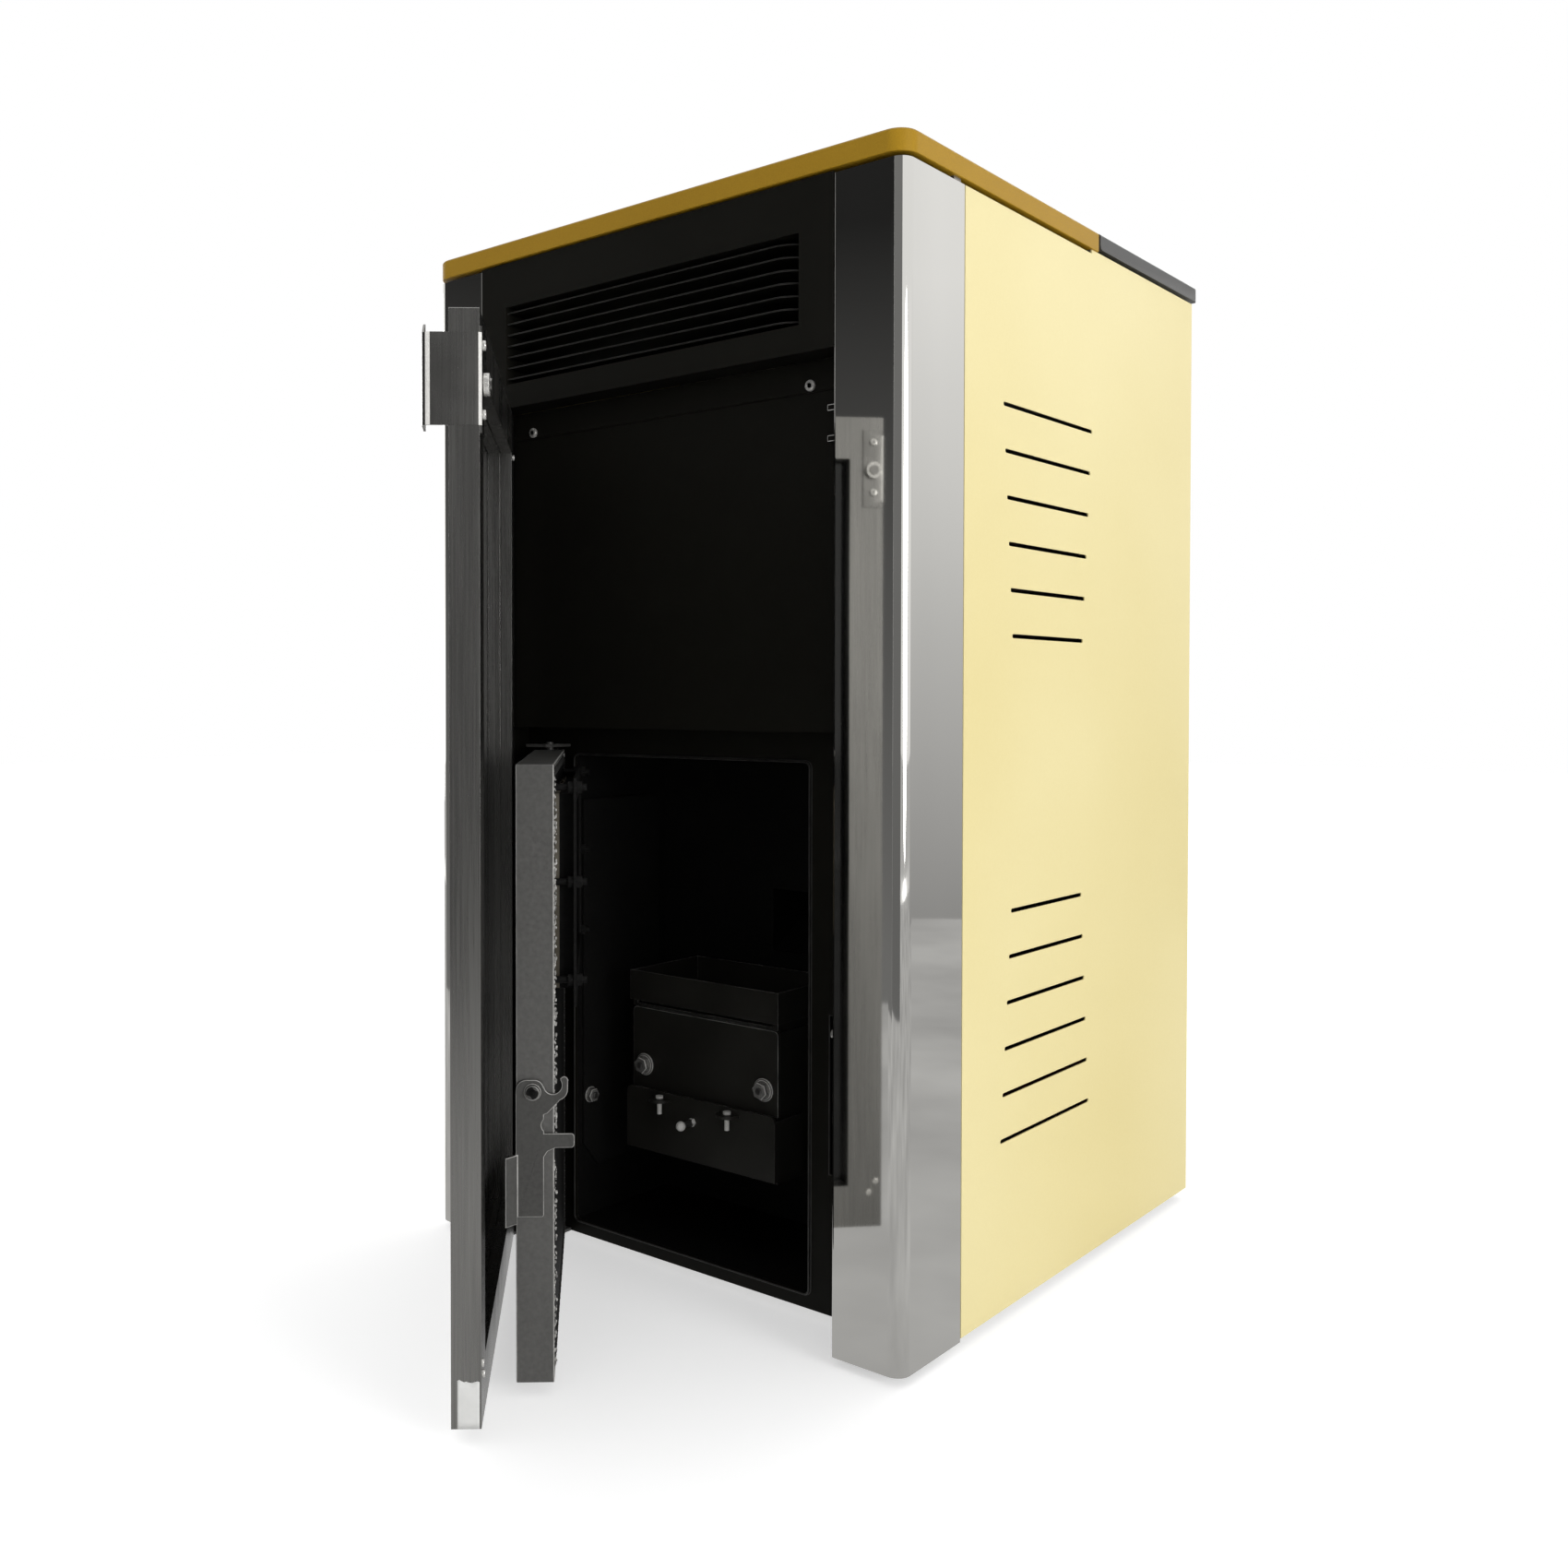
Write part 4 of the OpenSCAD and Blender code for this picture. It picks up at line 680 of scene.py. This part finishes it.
def ridge(bm, outline, pitch, steps, count, move):
    """One ridge of three sides wound up round a rod by so many steps, and closed at its ends."""
    verts = [bm.verts.new((radius, 0, height)) for radius, height in outline]
    edges = [bm.edges.new((verts[i], verts[(i + 1) % 3])) for i in range(3)]
    made = bmesh.ops.spin(bm, geom=verts + edges, cent=(0, 0, 0), axis=(0, 0, 1),
                          dvec=(0, 0, pitch / steps), angle=2 * math.pi * count / steps,
                          steps=count, use_merge=False, use_duplicate=False)
    wound = linked(verts)
    last = last_verts(made)
    bmesh.ops.contextual_create(bm, geom=verts)
    bmesh.ops.contextual_create(bm, geom=last)
    finish_part(bm, wound, move)


def bolt_end(bm, length, move):
    """The threaded end of a bolt, with a small chamfer."""
    root, pitch, steps = BOLT_ROOT, BOLT_PITCH, 18
    lathe(bm, [(0, 0), (root, 0), (root, length - pitch / 2), (root - pitch / 2, length),
               (0, length)], move)
    sunk = root - 0.0001
    ridge(bm, [(sunk, 0.1 * pitch), (BOLT_CREST, 0.5 * pitch), (sunk, 0.9 * pitch)], pitch, steps,
          round((length / pitch - 1.6) * steps), move)


def make_burner_bolts():
    """The nuts, washers and bolt ends that hold the burner's front and the side plates."""
    bm = bmesh.new()
    ends = bmesh.new()
    flat, spring, turned = 0.0016, 0.0012, 0.3
    for side in (-1, 1):
        x, d, h = BURNER_BOLT
        seat = placed(x * side, d, h, TO_FRONT)
        washer(bm, inner=WASHER_BORE, outer=0.0115, thick=flat, move=seat)
        washer(bm, inner=WASHER_BORE, outer=0.0098, thick=spring, move=seat @ lifted(flat))
        on_top = seat @ lifted(flat + spring) @ Matrix.Rotation(turned, 4, "Z")
        nut(bm, across=0.0150, thick=0.0060, move=on_top)
        bolt_end(ends, length=0.0108, move=seat)
        x, d, h = WALL_BOLT
        seat = placed(x * side, d, h, (0, -side * math.pi / 2, 0))
        washer(bm, inner=WASHER_BORE, outer=0.0085, thick=spring, move=seat)
        nut(bm, across=0.013, thick=0.0055, move=seat @ lifted(spring))
        bolt_end(ends, length=0.0090, move=seat)
    body = body_of(nodes["hex_nuts"])[0]
    made = piece("burner_nuts", bm, nut_zinc, body, ["hex_nuts"])
    # The chamfers of the nuts and washers get a painted highlight.
    paint_chamfer_highlights(made, Vector((0, 1, 0)), lambda middle: abs(middle.x) < BETWEEN_BOLTS)
    paint_chamfer_highlights(made, Vector((1, 0, 0)), lambda middle: abs(middle.x) > BETWEEN_BOLTS)
    piece("burner_bolt_ends", ends, latch_steel, body)


def make_small_screws():
    """Screws of the cover plate, the back panel, the outer door and its handle."""
    bm = bmesh.new()
    for x in (-0.178, 0.178):
        seat = placed(x, 0.0325, 0.862, TO_FRONT)
        socket_head(bm, radius=0.0052, height=0.0024, socket=0.0025, move=seat)
    body = body_of(nodes["cover_screws"])[0]
    piece("cover_plate_screws", bm, zinc, body, ["cover_screws"])
    bm = bmesh.new()
    for x in (-0.283, 0.283):
        for h in (0.060, 0.280, 0.500, 0.720, 0.940):
            seat = placed(x, BACK_FACE, h, TO_BACK)
            socket_head(bm, radius=0.0045, height=0.0024, socket=0.0019, move=seat)
    piece("back_panel_screws", bm, zinc, body)
    bm = bmesh.new()
    for h in (0.801, 0.855):
        seat = placed(0.2098, 0.0258, h, TO_BACK, OUTER_SWING)
        socket_head(bm, radius=0.0040, height=0.0024, socket=0.0018, move=seat)
    for x, h in ((0.2145, 0.054), (0.2070, 0.042), (0.2145, 0.836), (-0.205, 0.054),
                 (-0.205, 0.836)):
        seat = placed(x, DOOR_THICK, h, TO_BACK, OUTER_SWING)
        socket_head(bm, radius=0.0032, height=0.0016, socket=0.0014, move=seat)
    piece("outer_door_screws", bm, zinc, body_of(nodes["outer_door_frame"])[0])


def make_latch_bolt():
    """The shouldered bolt on which the latch turns, with its washer, painted shade in its socket
    and a light rim that is partly wear and partly a painted highlight.
    """
    bm = bmesh.new()
    thick, socket = 0.0008, 0.0034
    shank, shoulder = 0.0029, 0.0039
    end, step, top = -0.0115, -0.0039, 0.0010
    out = FIRE_EDGE + LATCH_GAP + LATCH_THICK + LATCH_PLAY
    seat = placed(out, *LATCH_BOLT, ALONG_X, FIRE_SWING)
    washer(bm, inner=0.0030, outer=0.0072, thick=thick, move=seat)
    socket_head(bm, radius=0.0060, height=0.0026, socket=socket, move=seat @ lifted(thick))
    lathe(bm, [(0, end), (shank, end), (shank, step), (shoulder, step), (shoulder, top),
               (0, top)], seat)
    body = body_of(nodes["latch_pivot"])[0]
    made = piece("latch_bolt", bm, latch_steel, body, ["latch_pivot"])
    # The socket's faces are painted in the furnace black: a painted shade in the recess.
    repaint(made, seat, furnace_black,
            lambda middle: middle.z > thick + 0.0001 and middle.xy.length < socket + 0.0002)
    # The rim gets the light edge finish: partly wear, partly a painted highlight.
    round_edges(made, width=0.0002, edge=worn_highlight_edge, angle=35)


def rope_path(x0, x1, h0, h1, bend, spacing):
    """The middle line of the rope, once round the door's channel, with its corners bent."""
    corners = [(x1 - bend, h1 - bend, 0), (x0 + bend, h1 - bend, 90),
               (x0 + bend, h0 + bend, 180), (x1 - bend, h0 + bend, 270)]
    path = []
    for index, (x, h, start) in enumerate(corners):
        for turn in range(0, 91, 15):
            angle = math.radians(start + turn)
            path.append((x + bend * math.cos(angle), h + bend * math.sin(angle)))
        near, far = path[-1], corners[(index + 1) % 4]
        ahead = math.radians(far[2])
        end = (far[0] + bend * math.cos(ahead), far[1] + bend * math.sin(ahead))
        count = round(math.dist(near, end) / spacing)
        path += [
            (near[0] + (end[0] - near[0]) * i / count, near[1] + (end[1] - near[1]) * i / count)
            for i in range(1, count)
        ]
    return path


def make_rope_seal():
    """Three twisted strands of glass rope, laid in the fire door's channel."""
    depth, strand, wound, lay = 0.0624, 0.00245, 0.0021, 0.021
    path = rope_path(-0.1615, 0.1745, 0.0135, 0.5145, bend=0.0065, spacing=0.0028)
    lengths = [0.0]
    for near, far in zip(path, path[1:] + path[:1]):
        lengths.append(lengths[-1] + math.dist(near, far))
    turns = round(lengths[-1] / lay)
    inwards = Vector((0, 1, 0))
    curve = bpy.data.curves.new("rope_path", "CURVE")
    curve.dimensions = "3D"
    curve.bevel_depth = strand
    curve.bevel_resolution = 2
    for index in range(3):
        spline = curve.splines.new("POLY")
        spline.points.add(len(path) - 1)
        spline.use_cyclic_u = True
        for i, (x, h) in enumerate(path):
            before, after = path[i - 1], path[(i + 1) % len(path)]
            along = Vector((after[0] - before[0], 0, after[1] - before[1])).normalized()
            across = along.cross(inwards)
            angle = 2 * math.pi * (turns * lengths[i] / lengths[-1] + index / 3)
            offset = across * math.cos(angle) * wound + inwards * math.sin(angle) * wound
            spline.points[i].co = (*(FIRE_SWING @ (at(x, depth, h) + offset)), 1)
    laid = bpy.data.objects.new("rope_path", curve)
    bpy.context.scene.collection.objects.link(laid)
    ready = laid.evaluated_get(bpy.context.evaluated_depsgraph_get())
    mesh = bpy.data.meshes.new_from_object(ready)
    bpy.data.objects.remove(laid)
    bm = bmesh.new()
    bm.from_mesh(mesh)
    bpy.data.meshes.remove(mesh)
    body = body_of(nodes["door_rope"])[0]
    piece("rope_seal", bm, rope_fibre, body, ["door_rope"], angle=80)


def make_old_sealant():
    """Crumbs of heatproof sealant along the rear edge of the fire door, clear of the latch."""
    chance = random.Random(7)
    crumbs, foot, reach, tall = 330, 0.014, 0.500, 1.8
    bm = bmesh.new()
    for _ in range(crumbs):
        low = foot + reach * chance.random() ** 0.8
        size = chance.uniform(0.0004, 0.0012)
        made = bmesh.ops.create_icosphere(bm, subdivisions=1, radius=size)
        for vert in made["verts"]:
            vert.co *= chance.uniform(0.7, 1.25)
            vert.co.z *= tall
        x = FIRE_EDGE - chance.uniform(0.0011, 0.0026)
        place = at(x, 0.0662 + chance.uniform(-0.0006, 0.0018), low)
        move = FIRE_SWING @ Matrix.Translation(place)
        bmesh.ops.transform(bm, matrix=move, verts=made["verts"])
    piece("old_sealant", bm, sealant, body_of(nodes["door_rope"])[0])


def make_louvre_blades():
    """The slats, square at their left end and rounded at their right one."""
    bm = bmesh.new()
    half, back, front, bend, thick = 0.187, 0.046, 0.0024, 0.028, 0.0016
    outline = [(-half, front)]
    for turn in range(-90, 1, 10):
        angle = math.radians(turn)
        outline.append(
            (half - bend + bend * math.cos(angle), front + bend + bend * math.sin(angle))
        )
    outline += [(half, back), (-half, back)]
    for index in range(GRILLE_SLATS):
        low = GRILLE_LOW + GRILLE_RISE * (index + 0.5) - thick / 2
        face = bm.faces.new([bm.verts.new(at(x, d, low)) for x, d in outline])
        made = bmesh.ops.extrude_face_region(bm, geom=[face])
        raised = [item for item in made["geom"] if isinstance(item, bmesh.types.BMVert)]
        bmesh.ops.translate(bm, verts=raised, vec=(0, 0, thick))
    bmesh.ops.recalc_face_normals(bm, faces=bm.faces)
    body = body_of(nodes["louvre_slats"])[0]
    made = piece("louvre_blades", bm, black_paint, body, ["louvre_slats"], angle=40)
    # The blades' edges get the lighter finish, partly rubbing and partly a painted highlight.
    round_edges(made, width=0.0005, edge=rubbed_highlight_edge, angle=40)


def make_pipe_threads():
    """Brass threads on the ends of the water pipes."""
    bm = bmesh.new()
    root, crest, pitch, turns, steps = 0.0131, 0.0139, 0.0018, 9, 32
    outline = [(root, 0), (crest, 0.5 * pitch), (root, 0.95 * pitch)]
    for h in (0.300, 0.130):
        seat = placed(0.235, BACK_FACE + 0.0025, h, TO_BACK)
        ridge(bm, outline, pitch, steps, turns * steps, seat)
    piece("pipe_threads", bm, brass, body_of(nodes["water_pipes"])[0])


def make_film():
    """The strip of protective film left on the lower end of the outer door's edge."""
    bm = bmesh.new()
    columns = 10
    made = bmesh.ops.create_grid(bm, x_segments=columns, y_segments=6, size=0.5)
    torn = (0.0010, 0.0016, 0.0004, -0.0003, 0.0002, -0.0006, -0.0009, -0.0008, -0.0002, 0.0003,
            -0.0004)
    out, front, wide = DOOR_EDGE + 0.00012, 0.0050, 0.0175
    low = DOOR_LOW + 0.0006
    for vert in made["verts"]:
        along, up = vert.co.x + 0.5, vert.co.y + 0.5
        top = 0.0420 + torn[round(along * columns)]
        vert.co = Vector((out, front + wide * along, low + (top - low) * up))
    bmesh.ops.transform(bm, matrix=OUTER_PLACE, verts=bm.verts)
    made = piece("edge_film", bm, film_white, body_of(nodes["outer_door_frame"])[0])
    thick = made.modifiers.new("thickness", "SOLIDIFY")
    thick.thickness = 0.0001
    thick.offset = 0


make_burner_bolts()
make_small_screws()
make_latch_bolt()
make_rope_seal()
make_old_sealant()
make_louvre_blades()
make_pipe_threads()
make_film()

# Camera, light and floor

CAMERA_DIP = 0.0183
CAMERA_TURN = 0.7188
WHITE = (1, 1, 1, 1)

camera = bpy.data.objects.new("camera", bpy.data.cameras.new("camera"))
bpy.context.scene.collection.objects.link(camera)
camera.location = (0.933, -1.385, 0.586)
camera.rotation_euler = (math.pi / 2 - CAMERA_DIP, 0, CAMERA_TURN)
camera.data.sensor_width = 36.0
camera.data.lens = 33.40
camera.data.shift_x = 0.0917
camera.data.shift_y = -0.0370
camera.data.clip_start = 0.05
bpy.context.scene.camera = camera
bpy.context.scene.view_settings.view_transform = "Standard"


def join(tree, kind, factor, first, second):
    """Joins two shaders, the second shown where the factor is 1, or both where it is none."""
    both = tree.nodes.new(kind)
    if factor:
        tree.links.new(factor, both.inputs[0])
    tree.links.new(first.outputs[0], both.inputs[-2])
    tree.links.new(second.outputs[0], both.inputs[-1])
    return both.outputs[0]


def seen_rays(tree):
    """1 for rays from the camera, a mirror or a glass, so that they show the plain background."""
    path = tree.nodes.new("ShaderNodeLightPath")
    total = path.outputs["Is Camera Ray"]
    for kind in ("Is Glossy Ray", "Is Transmission Ray"):
        either = add(tree, "ShaderNodeMath", operation="MAXIMUM")
        tree.links.new(total, either.inputs[0])
        tree.links.new(path.outputs[kind], either.inputs[1])
        total = either.outputs[0]
    return total


def make_world():
    """Soft light from all round, before a white background."""
    world = bpy.data.worlds.new("studio")
    bpy.context.scene.world = world
    world.use_nodes = True
    tree = world.node_tree
    light = tree.nodes["Background"]
    light.inputs["Color"].default_value = WHITE
    light.inputs["Strength"].default_value = 0.62
    seen = add(tree, "ShaderNodeBackground", Color=WHITE, Strength=1.0)
    shown = join(tree, "ShaderNodeMixShader", seen_rays(tree), light, seen)
    tree.links.new(shown, tree.nodes["World Output"].inputs["Surface"])


def stage_object(name, bm, material):
    """A floor, card or flag, which isn't part of the stove."""
    new_object(name, bm, material)


def make_floor():
    """The pale floor, a little brighter to the camera so that it runs into the background."""
    material, tree = new_material("pale_floor")
    surface = tree.nodes["Principled BSDF"]
    surface.inputs["Base Color"].default_value = (0.86, 0.86, 0.86, 1)
    surface.inputs["Roughness"].default_value = 0.9
    surface.inputs["Specular IOR Level"].default_value = 0.1
    glow = tree.nodes.new("ShaderNodeEmission")
    strength = add(tree, "ShaderNodeMath", operation="MULTIPLY")
    strength.inputs[1].default_value = 0.50
    path = tree.nodes.new("ShaderNodeLightPath")
    tree.links.new(path.outputs["Is Camera Ray"], strength.inputs[0])
    tree.links.new(strength.outputs[0], glow.inputs["Strength"])
    shown = join(tree, "ShaderNodeAddShader", None, surface, glow)
    tree.links.new(shown, tree.nodes["Material Output"].inputs["Surface"])
    bm = bmesh.new()
    bmesh.ops.create_grid(bm, x_segments=1, y_segments=1, size=12.0)
    bmesh.ops.translate(bm, verts=bm.verts, vec=(0, 0, -0.0004))
    stage_object("floor", bm, material)


def make_card(name, make_shade):
    """The material of a card that only shiny faces show, in a shade that varies over it."""
    material, tree = new_material(name)
    tree.nodes.remove(tree.nodes["Principled BSDF"])
    glow = add(tree, "ShaderNodeEmission", Strength=1.0)
    place = add(tree, "ShaderNodeTexCoord")
    tree.links.new(make_shade(tree, place.outputs["Object"]), glow.inputs["Color"])
    clear = tree.nodes.new("ShaderNodeBsdfTransparent")
    path = tree.nodes.new("ShaderNodeLightPath")
    shown = join(tree, "ShaderNodeMixShader", path.outputs["Is Glossy Ray"], clear, glow)
    tree.links.new(shown, tree.nodes["Material Output"].inputs["Surface"])
    return material


def make_ground_flag():
    """The grey ground round the stove, as its polished posts show it."""
    def patches(tree, place):
        cloud = add(tree, "ShaderNodeTexNoise", Scale=2.6, Detail=4.0)
        tree.links.new(place, cloud.inputs["Vector"])
        spread = add(tree, "ShaderNodeMapRange",
                     **{"From Min": 0.3, "From Max": 0.7, "To Min": 0.40, "To Max": 0.60})
        tree.links.new(cloud.outputs["Fac"], spread.inputs["Value"])
        return spread.outputs["Result"]

    bm = bmesh.new()
    bmesh.ops.create_circle(bm, cap_ends=True, segments=64, radius=3.4)
    bmesh.ops.translate(bm, verts=bm.verts, vec=(0, 0, 0.0012))
    stage_object("ground_flag", bm, make_card("ground_flag", patches))


def make_flag(name, radius, start, sweep, foot, head):
    """A curved studio flag that is shaded between two heights, each given with its shade."""
    tall = 3.2

    def shade_up(tree, place):
        split = add(tree, "ShaderNodeSeparateXYZ")
        tree.links.new(place, split.inputs[0])
        spread = add(tree, "ShaderNodeMapRange", **{
            "From Min": foot[0], "From Max": head[0], "To Min": foot[1], "To Max": head[1],
        })
        tree.links.new(split.outputs["Z"], spread.inputs["Value"])
        return spread.outputs["Result"]

    bm = bmesh.new()
    low = bm.verts.new(Matrix.Rotation(math.radians(start), 3, "Z") @ Vector((0, -radius, 0)))
    high = bm.verts.new(low.co + Vector((0, 0, tall)))
    edge = bm.edges.new((low, high))
    bmesh.ops.spin(bm, geom=[edge, low, high], cent=(0, 0, 0), axis=(0, 0, 1), dvec=(0, 0, 0),
                   angle=math.radians(sweep), steps=24, use_merge=False, use_duplicate=False)
    stage_object(name, bm, make_card(name, shade_up))


def make_lamp(name, place, aim, size, power):
    """A round soft lamp turned towards a point on the stove."""
    lamp = bpy.data.lights.new(name, "AREA")
    lamp.shape = "DISK"
    lamp.size = size
    lamp.energy = power
    stand = bpy.data.objects.new(name, lamp)
    bpy.context.scene.collection.objects.link(stand)
    stand.location = place
    stand.rotation_euler = (Vector(aim) - Vector(place)).to_track_quat("-Z", "Y").to_euler()


make_world()
make_floor()
make_ground_flag()
make_flag("front_flag", radius=1.75, start=-62, sweep=68, foot=(0.1, 0.19), head=(1.5, 0.02))
make_flag("right_flag", radius=1.85, start=6, sweep=44, foot=(0.1, 0.16), head=(1.5, 0.22))
make_flag("side_flag", radius=2.6, start=118, sweep=52, foot=(0.0, 0.36), head=(1.7, 1.0))
make_lamp("key", place=(3.7, -0.75, 0.95), aim=(0, 0, 0.40), size=1.8, power=54)
make_lamp("fill", place=(-2.4, -2.6, 2.0), aim=(0, 0, 0.5), size=2.6, power=6)
make_lamp("back", place=(0.5, 3.0, 2.6), aim=(0, 0, 0.6), size=2.4, power=20)
make_lamp("left", place=(-3.7, 0.9, 1.1), aim=(0, 0, 0.45), size=1.8, power=38)
